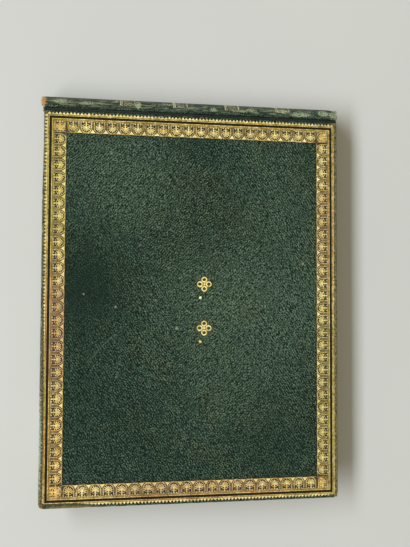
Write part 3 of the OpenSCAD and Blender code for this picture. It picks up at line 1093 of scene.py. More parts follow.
@dataclass
class CoverSkin:
    """The leather of one cover: a shell round the board, turned in over the inner face."""

    book: Book
    side: Side
    step: float = 2.4
    sag: float = 0.05
    nicks: tuple[tuple[float, float, float, float], ...] = (
        (69.5, -90.0, 3.2, 0.55), (100.6, 90.0, 1.6, 0.5), (-60.0, -90.0, 2.2, 0.25),
        (121.25, -62.0, 2.0, 0.25), (121.25, 90.0, 3.0, 0.6), (121.25, -90.0, 3.2, 0.45),
        (-96.0, -90.0, 46.0, -0.55),
    )
    across: list[float] = field(init=False)
    along: list[float] = field(init=False)

    def __post_init__(self) -> None:
        """Spaces the points of every loop."""
        self.across = spread(2 * self.book.half_w, self.step)
        self.along = spread(2 * self.book.half_h, self.step)

    def worn_in(self, x: float, y: float) -> float:
        """How far wear has eaten into the cover's edge at a place."""
        depth = 0.10 * (0.5 + 0.5 * wobble(x * 0.06, y * 0.06, 3.0))
        depth += 0.05 * abs(wobble(x * 0.4, y * 0.4, 8.0))
        for nick_x, nick_y, reach, deep in self.nicks:
            away = math.hypot(x - nick_x, y - nick_y) / reach
            if away < 1:
                depth += deep * (1 - away * away) ** 2
        return depth

    def loop(self, low: Flat, high: Flat, z: float, corner: float, rim: float) -> list[Point]:
        """A rounded rectangle of points round the cover.

        Args:
            low: Its lowest corner.
            high: Its highest corner.
            z: Its height.
            corner: Radius of its corners.
            rim: How much of the edge wear reaches it, from 0 to 1.

        Returns:
            The points.
        """
        (x0, y0), (x1, y1) = low, high
        xs = [x0 + (x1 - x0) * t for t in self.across]
        ys = [y0 + (y1 - y0) * t for t in self.along]
        flat = [(x, y0) for x in xs[:-1]] + [(x1, y) for y in ys[:-1]]
        flat += [(x, y1) for x in xs[:0:-1]] + [(x0, y) for y in ys[:0:-1]]
        cx, cy = (x0 + x1) / 2, (y0 + y1) / 2
        points: list[Point] = []
        for x, y in flat:
            dx, dy = abs(x - cx) - (x1 - cx - corner), abs(y - cy) - (y1 - cy - corner)
            if corner > 0 and dx > 0 and dy > 0:
                pull = corner / max(math.hypot(dx, dy), 1e-6)
                x = cx + math.copysign(x1 - cx - corner + dx * pull, x - cx)
                y = cy + math.copysign(y1 - cy - corner + dy * pull, y - cy)
            if rim > 0:
                eaten = self.worn_in(x, y) * rim
                x += math.copysign(eaten, cx - x) if abs(x - cx) > self.book.half_w - 4 else 0.0
                y += math.copysign(eaten, cy - y) if abs(y - cy) > self.book.half_h - 4 else 0.0
            points.append((x, y, z))
        return points

    def inset(self, depth: float) -> tuple[Flat, Flat]:
        """The cover's outline moved inwards by a distance."""
        b = self.book
        return (b.joint_x + depth, depth - b.half_h), (b.fore_x - depth, b.half_h - depth)

    def lie(self, x: float, y: float) -> float:
        """How far the outer face lies below its highest level at a place."""
        swell = 0.5 + 0.5 * wobble(x * 0.018, y * 0.018, 1.0)
        return 0.05 + self.sag * swell

    def shape(self) -> Shape:
        """Builds the shell.

        Returns:
            The shape, as it is on the front cover.
        """
        b = self.book
        top = b.thickness
        paper_low, paper_high = span("front_pastedown")
        opening = ((paper_low.x, paper_low.y), (paper_high.x, paper_high.y))
        cavity = self.inset(b.leather_t)
        roof, floor = top - b.leather_t, top - b.leather_t - b.board_t
        inner = top - b.cover_t
        loops = [
            self.loop(*cavity, roof, 0.0, 0.0),
            self.loop(*cavity, floor, 0.0, 0.0),
            self.loop(*opening, floor, 0.0, 0.0),
            self.loop(*opening, inner, 0.0, 0.0),
        ]
        for depth in (2.4, b.edge_r):
            loops.append(self.loop(*self.inset(depth), inner, max(b.corner_r - depth, 0.3), 0.3))
        for angle in (-60, -30, 0):
            a = math.radians(angle)
            depth, z = b.edge_r * (1 - math.cos(a)), inner + b.edge_r * (1 + math.sin(a))
            loops.append(self.loop(*self.inset(depth), z, b.corner_r - depth, 1.0))
        for angle in (0, 22, 45, 68, 90):
            a = math.radians(angle)
            depth, z = b.edge_r * (1 - math.cos(a)), top - 0.05 - b.edge_r * (1 - math.sin(a))
            loops.append(self.loop(*self.inset(depth), z, b.corner_r - depth, 1.0))
        for depth in (1.6, 2.5, 3.8, 4.2, 4.7, 5.0, 9.0, 13.6, 16.0):
            dip = 0.07 if depth in (4.2, 4.7) else 0.0
            ring = self.loop(*self.inset(depth), top, max(b.corner_r - depth, 0.0), 0.0)
            loops.append([(x, y, z - self.lie(x, y) - dip) for x, y, z in ring])
        shape = Shape()
        shape.sweep(loops, closed=True, capped=False)
        self.fill(shape, loops[0], lambda x, y: roof)
        self.fill(shape, loops[-1], lambda x, y: top - self.lie(x, y))
        return shape

    def fill(self, shape: Shape, ring: Sequence[Point], height: Callable[[float, float], float]) -> None:
        """Closes a ring of the cover with a grid.

        Args:
            shape: The shape that gets the grid.
            ring: The ring's points.
            height: The grid's height at a place.
        """
        low = (min(p[0] for p in ring), min(p[1] for p in ring))
        high = (max(p[0] for p in ring), max(p[1] for p in ring))
        xs = [low[0] + (high[0] - low[0]) * t for t in self.across]
        ys = [low[1] + (high[1] - low[1]) * t for t in self.along]
        points = [(x, y, height(x, y)) for y in ys for x in xs]
        wide = len(xs)
        faces = [
            (j * wide + i, j * wide + i + 1, (j + 1) * wide + i + 1, (j + 1) * wide + i)
            for j in range(len(ys) - 1) for i in range(wide - 1)
        ]
        shape.add(points, faces)

    def build(self, material: bpy.types.Material) -> None:
        """Makes the piece and fixes it to its cover.

        Args:
            material: The leather's finish.
        """
        shape = self.shape()
        if self.side is Side.BACK:
            shape = shape.turned_over(self.book.thickness)
        piece = shape.build(f"{self.side.value}_cover_skin", [material], 50.0)
        settle(piece, self.side.body, "green_leather", f"{self.side.value}_leather")


@dataclass(frozen=True)
class Golds:
    """The finishes of a cover's tooling."""

    line: bpy.types.Material
    leaf: bpy.types.Material
    rim_line: bpy.types.Material
    tooth: bpy.types.Material
    ground: bpy.types.Material
    hollow: bpy.types.Material

    @classmethod
    def for_covers(cls, book: Book) -> "Golds":
        """Makes the finishes.

        Args:
            book: The book's sizes.

        Returns:
            The finishes.
        """
        half_h, fore_x = book.half_h, book.fore_x
        worn_rim = (
            ((5.0, 0.9 - half_h, 10.0), (FAR, 2.4, FAR), 0.45),
            ((78.0, 0.9 - half_h, 10.0), (118.0, 2.6, FAR), 1.0),
            ((5.0, half_h - 0.9, 10.0), (FAR, 2.4, FAR), 0.72),
            ((fore_x - 1.2, 5.0 - half_h, 10.0), (3.0, 42.0, FAR), 1.1),
            ((fore_x - 1.2, half_h - 2.0, 10.0), (2.4, 12.0, FAR), 0.6),
        )
        bright, pale, brown = (1.0, 0.80, 0.25), (1.0, 0.96, 0.57), (0.66, 0.42, 0.09)
        tooth = Gilt(bright, pale, brown, wear=0.5, tinting=0.35, bare=worn_rim)
        ground = Ground((0.052, 0.033, 0.007), (0.009, 0.006, 0.002), 0.12)
        hollow = Ground((0.012, 0.007, 0.0015), (0.003, 0.002, 0.0007))
        return cls(
            line=Gilt().material("tooled_gold", book),
            leaf=Gilt(bright, pale, brown, wear=0.35).material("bright_gold", book),
            rim_line=Gilt(bare=worn_rim).material("rim_gold", book),
            tooth=tooth.material("tooth_gold", book),
            ground=ground.material("gold_dusted_leather"),
            hollow=hollow.material("tooled_hollows"),
        )


@dataclass
class GiltBorder:
    """The tooled border of one cover, its lines and motifs laid as thin gold."""

    book: Book
    side: Side
    tooth_tip: float = 1.25
    tooth_root: float = 2.55
    tooth_pitch: float = 2.07
    tooth_strip: float = 2.95
    tail_shift: float = 0.45
    head_shift: float = 0.30
    fore_lean: float = -1.3
    fillets: tuple[Flat, ...] = ((3.20, 0.40), (5.12, 0.56), (6.02, 0.26))
    roll_outer: float = 6.5
    roll_w: float = 7.0
    pitch: float = 7.66
    skin_top: float = 0.10
    gold_top: float = 0.015
    dark_top: float = 0.028
    tone_top: float = 0.040

    def level(self, depth: float) -> float:
        """Height at a depth below the front cover's face."""
        return self.book.thickness - depth

    def length(self, edge: Edge) -> float:
        """Length of one edge of the cover."""
        return 2 * (self.book.half_w if edge in (Edge.TAIL, Edge.HEAD) else self.book.half_h)

    def put(self, edge: Edge, along: float, inward: float) -> Flat:
        """A place in the border.

        Args:
            edge: The edge that the place is at.
            along: Distance from the edge's middle, anticlockwise.
            inward: Distance from the edge.

        Returns:
            The place on the cover.
        """
        b = self.book
        half_w, half_h = b.half_w, b.half_h
        return {
            Edge.TAIL: (b.cover_x + along, -half_h + inward),
            Edge.FORE: (b.cover_x + half_w - inward, along),
            Edge.HEAD: (b.cover_x - along, half_h - inward),
            Edge.JOINT: (b.cover_x - half_w + inward, -along),
        }[edge]

    def line(self, shape: Shape, edge: Edge, inner: float, outer: float) -> None:
        """Adds a tooled line along one edge, a little uneven as by hand.

        Args:
            shape: The shape that gets the line.
            edge: The edge that it follows.
            inner: Its side towards the cover's edge, as a distance from there.
            outer: Its other side.
        """
        corner = inner if edge in (Edge.TAIL, Edge.HEAD) else outer
        half = self.length(edge) / 2 - corner
        count = max(8, round(half * 2 / 3.0))
        left: list[Flat] = []
        right: list[Flat] = []
        for i in range(count + 1):
            s = -half + 2 * half * i / count
            shift = 0.06 * wobble(s * 0.05, edge.value * 9.0, inner) if 0 < i < count else 0.0
            thin = 1 - 0.22 * abs(wobble(s * 0.35, edge.value * 5.0 + 2.0, inner + 4.0))
            middle, width = (inner + outer) / 2 + shift, (outer - inner) / 2 * thin
            left.append(self.put(edge, s, middle - width))
            right.append(self.put(edge, s, middle + width))
        shape.ribbon(left, right, self.level(self.skin_top), self.level(self.gold_top))

    def teeth(self) -> Shape:
        """The dog-tooth row and the strip that it stands on.

        Returns:
            The shape.
        """
        shape = Shape()
        rng = random.Random(11)
        for edge in Edge:
            run = self.length(edge) - 2 * self.tooth_root
            count = round(run / self.tooth_pitch)
            pitch = run / count
            for i in range(count):
                middle = -run / 2 + (i + 0.5) * pitch + rng.uniform(-0.06, 0.06)
                reach = self.tooth_root - (self.tooth_root - self.tooth_tip) * rng.uniform(0.86, 1.06)
                half = pitch * 0.46
                if edge is Edge.HEAD:
                    reach -= self.head_shift
                if edge is Edge.TAIL and middle < 0:
                    reach += self.tail_shift * middle / run * 2
                lean = self.fore_lean * max(0.0, middle / run) if edge is Edge.FORE else 0.0
                outline = [
                    self.put(edge, middle - half, self.tooth_root + 0.02),
                    self.put(edge, middle + half, self.tooth_root + 0.02),
                    self.put(edge, middle + half * 0.35 + lean, reach + 0.45),
                    self.put(edge, middle + lean * 1.4, reach),
                    self.put(edge, middle - half * 0.35 + lean, reach + 0.45),
                ]
                shape.prism(outline, self.level(self.skin_top), self.level(self.gold_top), 1)
            self.line(shape, edge, self.tooth_root + 0.02, self.tooth_strip)
        return shape

    def lines(self) -> Shape:
        """The three fillets.

        Returns:
            The shape.
        """
        shape = Shape()
        for edge in Edge:
            for start, width in self.fillets:
                self.line(shape, edge, start, start + width)
        return shape

    def motif(self, shape: Shape, put: Callable[[float, float], Flat], rng: random.Random) -> None:
        """One palmette in its arch.

        Args:
            shape: The shape that gets the motif.
            put: Turns distances from the motif's middle line and the roll's outer edge into a place.
            rng: The source of small irregularities.
        """
        low, gold, dark = self.level(self.skin_top), self.level(self.gold_top), self.level(self.dark_top)
        lean = rng.uniform(-0.09, 0.09)
        lift = rng.uniform(-0.07, 0.07)

        def at(u: float, v: float) -> Flat:
            """A place in this motif, with its own lean."""
            return put(u + lean * (v / self.roll_w - 0.5), v + lift)

        bow_v, bow_r, drop = 3.55, 3.18, 1.03
        for radius, stroke, finish, top in ((bow_r, 0.42, 0, gold), (bow_r - 0.55, 0.80, 2, dark)):
            foot = 0.35 if finish == 0 else 0.95
            sides = []
            for bend in (radius, radius - stroke):
                bow = [(x, bow_v + (y - bow_v) * drop) for x, y in arc(0, bow_v, bend, 180, 0, 14)]
                sides.append([at(*p) for p in [(-bend, foot), *bow, (bend, foot)]])
            shape.ribbon(*sides, low, top, finish)
        heart_v, petals = 3.30, 9
        first_turn, fan = -22, 224
        for k in range(petals):
            turn = math.radians(first_turn + fan * k / (petals - 1))
            reach = rng.uniform(0.90, 1.06)
            dx, dy = math.cos(turn), math.sin(turn)
            outline = [
                (0.45, -0.10), (1.30, -0.20), (2.10, -0.30), (2.50, -0.16), (2.58, 0.0),
                (2.50, 0.16), (2.10, 0.30), (1.30, 0.20), (0.45, 0.10),
            ]
            points = [at(reach * (x * dx - y * dy), heart_v + reach * (x * dy + y * dx)) for x, y in outline]
            shape.prism(points, low, gold, 3)
        for k in range(petals - 1):
            turn = math.radians(first_turn + fan * (k + 0.5) / (petals - 1))
            dx, dy = math.cos(turn), math.sin(turn)
            outline = [(0.75, 0.0), (1.55, -0.13), (1.95, 0.0), (1.55, 0.13)]
            points = [at(x * dx - y * dy, heart_v + x * dy + y * dx) for x, y in outline]
            shape.prism(points, low, dark + 0.004, 2)
        shape.prism([at(*p) for p in arc(0, heart_v - 0.05, 0.66, 0, 324, 9)], low, gold + 0.003, 3)
        stalk = [(-0.22, 0.9), (0.22, 0.9), (0.34, heart_v - 0.5), (-0.34, heart_v - 0.5)]
        shape.prism([at(*p) for p in stalk], low, gold, 3)
        drop_shape = ((-0.62, 0.45), (0.0, 0.15), (0.62, 0.45), (0.0, 1.05))
        shape.prism([at(u, v) for u, v in drop_shape], low, gold + 0.002, 3)
        for sign in (-1, 1):
            bar = [(0.34, 1.62), (1.55, 1.45), (1.62, 1.75), (0.34, 2.02)]
            shape.prism([at(sign * u, v) for u, v in bar], low, gold, 0)
            block = [(1.15, 0.85), (2.05, 0.80), (2.12, 1.55), (1.20, 1.40)]
            shape.prism([at(sign * u, v) for u, v in block], low, dark + 0.006, 2)
            knob = [(1.25, 0.18), (1.95, 0.16), (1.90, 0.62), (1.30, 0.64)]
            shape.prism([at(sign * u, v) for u, v in knob], low, gold, 3)

    def between(self, shape: Shape, put: Callable[[float, float], Flat]) -> None:
        """The post and the spandrel that fill the space between two arches.

        Args:
            shape: The shape that gets them.
            put: Turns distances from the gap's middle line and the roll's outer edge into a place.
        """
        low, gold = self.level(self.skin_top), self.level(self.gold_top)
        w = self.roll_w
        post = [(-0.12, 0.5), (0.12, 0.5), (0.10, w - 2.6), (-0.10, w - 2.6)]
        shape.prism([put(u, v) for u, v in post], low, gold, 0)
        for sign in (-1, 1):
            shade = [(sign * 0.22, 1.3), (sign * 0.46, 1.3), (sign * 0.40, w - 3.0), (sign * 0.20, w - 3.0)]
            shape.prism([put(u, v) for u, v in shade[::sign]], low, self.level(self.dark_top), 2)
        spandrel = [(0.0, w - 2.5), (0.62, w - 1.45), (1.55, w - 0.38), (-1.55, w - 0.38), (-0.62, w - 1.45)]
        shape.prism([put(u, v) for u, v in spandrel], low, gold, 3)

    def roll(self) -> Shape:
        """The palmette roll with its ground.

        Returns:
            The shape; its finishes are gold, toned ground and dark leather.
        """
        shape = Shape()
        rng = random.Random(23)
        low, tone = self.level(self.skin_top), self.level(self.tone_top)
        inner = self.roll_outer + self.roll_w
        for edge in Edge:
            ground_corner = self.roll_outer if edge in (Edge.TAIL, Edge.HEAD) else inner
            half = self.length(edge) / 2 - ground_corner
            ends = [self.put(edge, -half, self.roll_outer), self.put(edge, half, self.roll_outer)]
            far = [self.put(edge, half, inner), self.put(edge, -half, inner)]
            shape.prism([*ends, *far], low, tone, 1)
            self.line(shape, edge, self.roll_outer - 0.02, self.roll_outer + 0.14)
            run = self.length(edge) - 2 * inner
            count = round(run / self.pitch)
            step = run / count
            for i in range(count):
                middle = -run / 2 + (i + 0.5) * step
                self.motif(shape, lambda u, v: self.put(edge, middle + u, self.roll_outer + v), rng)
                gap = middle - step / 2
                if i:
                    self.between(shape, lambda u, v: self.put(edge, gap + u, self.roll_outer + v))
            self.scalloped(shape, edge, run, step)
            self.corner(shape, edge, rng)
        return shape

    def scalloped(self, shape: Shape, edge: Edge, run: float, step: float) -> None:
        """The roll's inner line, which swells a little under each arch.

        Args:
            shape: The shape that gets the line.
            edge: The edge that it follows.
            run: Its length.
            step: Distance between the arches.
        """
        left: list[Flat] = []
        right: list[Flat] = []
        count = round(run / step) * 8
        for i in range(count + 1):
            s = -run / 2 + run * i / count
            swell = 0.13 * math.cos(2 * math.pi * (s + run / 2 - step / 2) / step)
            left.append(self.put(edge, s, self.roll_outer + self.roll_w - 0.38))
            right.append(self.put(edge, s, self.roll_outer + self.roll_w - 0.14 + swell))
        shape.ribbon(left, right, self.level(self.skin_top), self.level(self.gold_top), 0)

    def corner(self, shape: Shape, edge: Edge, rng: random.Random) -> None:
        """The corner at the end of an edge, where two passes of the roll overlap.

        Args:
            shape: The shape that gets it.
            edge: The edge whose far end it stands at.
            rng: The source of small irregularities.
        """
        half = self.length(edge) / 2
        middle = half - self.roll_outer - self.roll_w / 2
        low, gold = self.level(self.skin_top), self.level(self.gold_top)
        self.motif(shape, lambda u, v: self.put(edge, middle + 0.3 + u * 0.96, self.roll_outer + v), rng)
        for k in range(6):
            across = 0.8 + 1.12 * k
            rail = [(-3.1, across - 0.12), (3.2, across - 0.10), (3.2, across + 0.12), (-3.1, across + 0.14)]
            outline = [self.put(edge, middle + u, self.roll_outer + v) for u, v in rail]
            shape.prism(outline, low, gold - 0.006, 0)
        for _ in range(10):
            u, v = rng.uniform(-2.9, 2.9), rng.uniform(0.9, self.roll_w - 1.2)
            long, wide, turn = rng.uniform(0.5, 1.4), rng.uniform(0.12, 0.3), rng.choice((0.0, math.pi / 2))
            dx, dy = math.cos(turn), math.sin(turn)
            box = [(-long, -wide), (long, -wide), (long, wide), (-long, wide)]
            turned = [(u + p * dx - q * dy, v + p * dy + q * dx) for p, q in box]
            outline = [self.put(edge, middle + p, self.roll_outer + q) for p, q in turned]
            shape.prism(outline, low, gold - 0.003, 3)

    def build(self, golds: "Golds") -> None:
        """Makes the border's pieces and fixes them to the cover.

        Args:
            golds: The finishes of the tooling.
        """
        name = self.side.value
        roll_finishes = [golds.line, golds.ground, golds.hollow, golds.leaf]
        tooth_nodes = (f"{name}_tooth_roll",) if self.side is Side.FRONT else ()
        parts = (
            ("tooth_row", self.teeth(), [golds.rim_line, golds.tooth], tooth_nodes),
            ("fillet_lines", self.lines(), [golds.line], (f"{name}_fillets",)),
            ("palmette_band", self.roll(), roll_finishes, (f"{name}_palmette_roll",)),
        )
        for label, shape, materials, nodes in parts:
            if self.side is Side.BACK:
                shape = shape.turned_over(self.book.thickness)
            settle(shape.build(f"{name}_{label}", materials, 30.0), self.side.body, "gilt", *nodes)


@dataclass
class Fleurons:
    """The small gilt ornaments in the middle of the front cover."""

    book: Book
    places: tuple[Flat, ...] = ((102.2, 6.2), (128.6, 6.2))
    width: float = 8.8
    line: float = 0.7
    dot: Flat = (8.1, -2.4)
    dot_d: float = 1.6

    def build(self, gold: bpy.types.Material) -> None:
        """Makes the piece.

        Args:
            gold: The gilt finish.
        """
        shape = Shape()
        low, high = self.book.thickness - 0.10, self.book.thickness - 0.015
        petal = self.width / 5
        for from_joint, y in self.places:
            x = self.book.joint_x + from_joint
            for k in range(4):
                turn = math.pi / 2 * k
                cx = x + (self.width / 2 - petal) * math.cos(turn)
                cy = y + (self.width / 2 - petal) * math.sin(turn)
                outer = arc(cx, cy, petal, 0, 360, 24)
                inner = [
                    (
                        cx + (px - cx) * 0.55 + 0.12 * math.cos(turn),
                        cy + (py - cy) * 0.62 + 0.12 * math.sin(turn),
                    )
                    for px, py in outer
                ]
                shape.ribbon(outer, inner, low, high)
            shape.prism(arc(x, y, self.line, 0, 315, 7), low, high + 0.003)
            shape.prism(arc(x + self.dot[0], y + self.dot[1], self.dot_d / 2, 0, 345, 15), low, high)
        settle(shape.build("front_gilt_ornaments", [gold], 30.0), Side.FRONT.body, "gilt", "front_fleurons")


@dataclass
class BackSkin:
    """The leather over the rounded back, with its grooves, caps and gilt bands."""

    book: Book
    steps: int = 72
    rows: int = 90
    band_centres: tuple[float, ...] = (-40.6, -8.6, 23.4, 55.4)
    band_w: float = 9.0
    band_line: float = 0.7
    hatches: int = 17
    band_reach: float = 76.0
    hatch_from: float = -2.6
    hatch_to: float = -1.9
    hatch_run: float = 15.0
    hatch_slant: float = 4.6
    lip: float = 2.2
    flare: float = 1.3
    flare_reach: float = 7.0
    head_swell: float = 1.0
    head_round: float = 0.85

    def profile(self) -> list[tuple[Flat, Flat, float]]:
        """The outer line of the back in X and Z, from the front groove round to the rear one.

        Returns:
            For each point its place, its outward direction and how far the caps may fold in there.
        """
        b = self.book
        top = b.thickness
        floor_z = top - b.groove_depth
        upper = [((b.back_x, floor_z), (0.0, 1.0), 0.0), ((b.groove_x, floor_z), (0.0, 1.0), 0.0)]
        reach = b.groove_depth
        shoulder = next(
            a for a in range(90, 180)
            if math.hypot(b.groove_x - b.back_x + reach * math.cos(math.radians(a + 90)),
                          top - b.mid_z + reach * math.sin(math.radians(a + 90))) > b.back_r - 0.35
            or a == 179
        )
        for k in range(1, 6):
            a = math.radians(270 - (shoulder - 90) * k / 6 * 0.92)
            place = (b.groove_x + reach * math.cos(a), top + reach * math.sin(a))
            upper.append((place, (-math.cos(a), -math.sin(a)), 0.0))
        start = math.degrees(math.atan2(upper[-1][0][1] - b.mid_z, b.back_x - upper[-1][0][0])) - 3.0
        arc_part = []
        for k in range(self.steps + 1):
            a = math.radians(start - 2 * start * k / self.steps)
            direction = (-math.cos(a), math.sin(a))
            place = (b.back_x + b.back_r * direction[0], b.mid_z + b.back_r * direction[1])
            fold = min(1.0, (math.radians(start) - abs(a)) / 0.25)
            arc_part.append((place, direction, fold))
        lower = [((x, top - z), (dx, -dz), f) for (x, z), (dx, dz), f in reversed(upper)]
        return upper + arc_part + lower

    def shape(self) -> Shape:
        """Builds the skin.

        Returns:
            The shape.
        """
        b = self.book
        half, skin = b.half_h, b.leather_t
        ys = [-half + skin + (2 * half - 2 * skin) * i / self.rows for i in range(self.rows + 1)]
        outer_run = [(-half, 0.75), (-half + 0.12, 0.40), (-half + 0.35, 0.14)]
        outer_run += [(y, 0.02) for y in ys]
        outer_run += [(half - 0.35, 0.14), (half - 0.12, 0.40), (half, 0.75)]
        loops: list[list[Point]] = []
        for (x, z), (dx, dz), fold in self.profile():
            deep = skin + self.lip * fold
            rim = max(deep - 0.4, 0.78)
            turn_in = [(half, rim), (half - 0.25, deep), (half - skin, deep), (half - skin, skin)]
            loop = []
            for y, sunk in outer_run + turn_in + [(-y, sunk) for y, sunk in reversed(turn_in)]:
                give = 0.10 * wobble(y * 0.06, x + z, 5.0) if sunk < 0.1 else 0.0
                depth = sunk + max(0.0, give)
                flare = self.flare * fold * max(0.0, (-y - half + self.flare_reach) / self.flare_reach) ** 2
                near_head = fold ** 2 * max(0.0, (y - half + 3.4) / 3.4) ** 2
                if sunk <= 0.75:
                    depth += self.head_round * near_head
                loop.append((x - dx * depth, y - flare + self.head_swell * near_head, z - dz * depth))
            loops.append(loop)
        shape = Shape()
        shape.sweep(loops, closed=True, capped=True)
        return shape

    def band(
        self, shape: Shape, y: float, low: float, high: float, angles: Flat, slant: float = 0.0,
    ) -> None:
        """A gilt stroke round part of the back.

        Args:
            shape: The shape that gets the stroke.
            y: Middle of the band that it belongs to.
            low: Its tail side, from the band's middle.
            high: Its head side.
            angles: Where it starts and ends, in degrees up from the spine's middle line.
            slant: How far its end is shifted along the spine.
        """
        b = self.book
        count = max(2, round(abs(angles[1] - angles[0]) / 6))
        loops = []
        for k in range(count + 1):
            share = k / count
            a = math.radians(angles[0] + (angles[1] - angles[0]) * share)
            shift = y + slant * share + 0.08 * wobble(a * 3.0, y, 2.0)
            loop = []
            for side, radius in ((low, 0.16), (high, 0.16), (high, 0.004), (low, 0.004)):
                r = b.back_r - radius
                loop.append((b.back_x - r * math.cos(a), shift + side, b.mid_z + r * math.sin(a)))
            loops.append(loop)
        shape.sweep(loops, closed=True, capped=True)

    def bands(self) -> Shape:
        """The gilt bands: lines at both sides, slanting strokes between.

        Returns:
            The shape.
        """
        shape = Shape()
        reach, line = self.band_reach, self.band_line
        for y in self.band_centres:
            for side in (-1, 1):
                edge = side * (self.band_w - line) / 2
                self.band(shape, y, edge - line / 2, edge + line / 2, (-reach, reach))
            edge = -self.band_w / 2
            self.band(shape, y, edge + 1.5 * line, edge + 2.2 * line, (-reach, reach))
            for k in range(self.hatches):
                start = -reach + 2 * reach * k / self.hatches
                angles = (start, start + self.hatch_run)
                self.band(shape, y, self.hatch_from, self.hatch_to, angles, self.hatch_slant)
        return shape

    def build(self, leather: bpy.types.Material, gold: bpy.types.Material) -> None:
        """Makes the skin and its bands.

        Args:
            leather: The skin's finish.
            gold: The bands' finish.
        """
        skin = self.shape().build("back_skin", [leather], 50.0)
        settle(skin, "book_block", "green_leather", "spine_leather")
        bands = self.bands().build("back_gilt_bands", [gold], 30.0)
        settle(bands, "book_block", "gilt", "spine_pallets")


@dataclass(frozen=True)
class Tuft:
    """Loose fibres round one place, all lengths in millimetres."""

    root: Point
    reach: Point
    lean: Point
    count: int
    length: float


@dataclass
class Fibres:
    """Short curled fibres where the leather is broken."""

    name: str
    body: str
    tufts: tuple[Tuft, ...]
    thick: float = 0.16
    joints: int = 5

    def thread(self, shape: Shape, root: Vector, lean: Vector, length: float, rng: random.Random) -> None:
        """Adds one fibre.

        Args:
            shape: The shape that gets it.
            root: Where it leaves the leather.
            lean: The way that it starts.
            length: Its length.
            rng: The source of its curl.
        """
        place, way = root.copy(), lean.normalized()
        curl = Vector([rng.uniform(-1, 1) for _ in range(3)])
        loops: list[list[Point]] = []
        for k in range(self.joints + 1):
            across = way.orthogonal().normalized()
            up = way.cross(across)
            r = self.thick * (1 - 0.75 * k / self.joints)
            turns = [2 * math.pi * m / 3 for m in range(3)]
            loops.append([tuple(place + across * (r * math.cos(t)) + up * (r * math.sin(t))) for t in turns])
            place = place + way * (length / self.joints)
            way = (way + curl * 0.28).normalized()
        shape.sweep(loops, closed=True, capped=True)

    def build(self, leather: bpy.types.Material) -> None:
        """Makes the piece.

        Args:
            leather: The finish of broken leather.
        """
        shape = Shape()
        rng = random.Random(41)
        for tuft in self.tufts:
            for _ in range(tuft.count):
                root = Vector([c + rng.uniform(-r, r) for c, r in zip(tuft.root, tuft.reach)])
                lean = Vector([c + rng.uniform(-0.45, 0.45) for c in tuft.lean])
                self.thread(shape, root, lean, tuft.length * rng.uniform(0.5, 1.1), rng)
        settle(shape.build(self.name, [leather], 60.0), self.body, "green_leather")


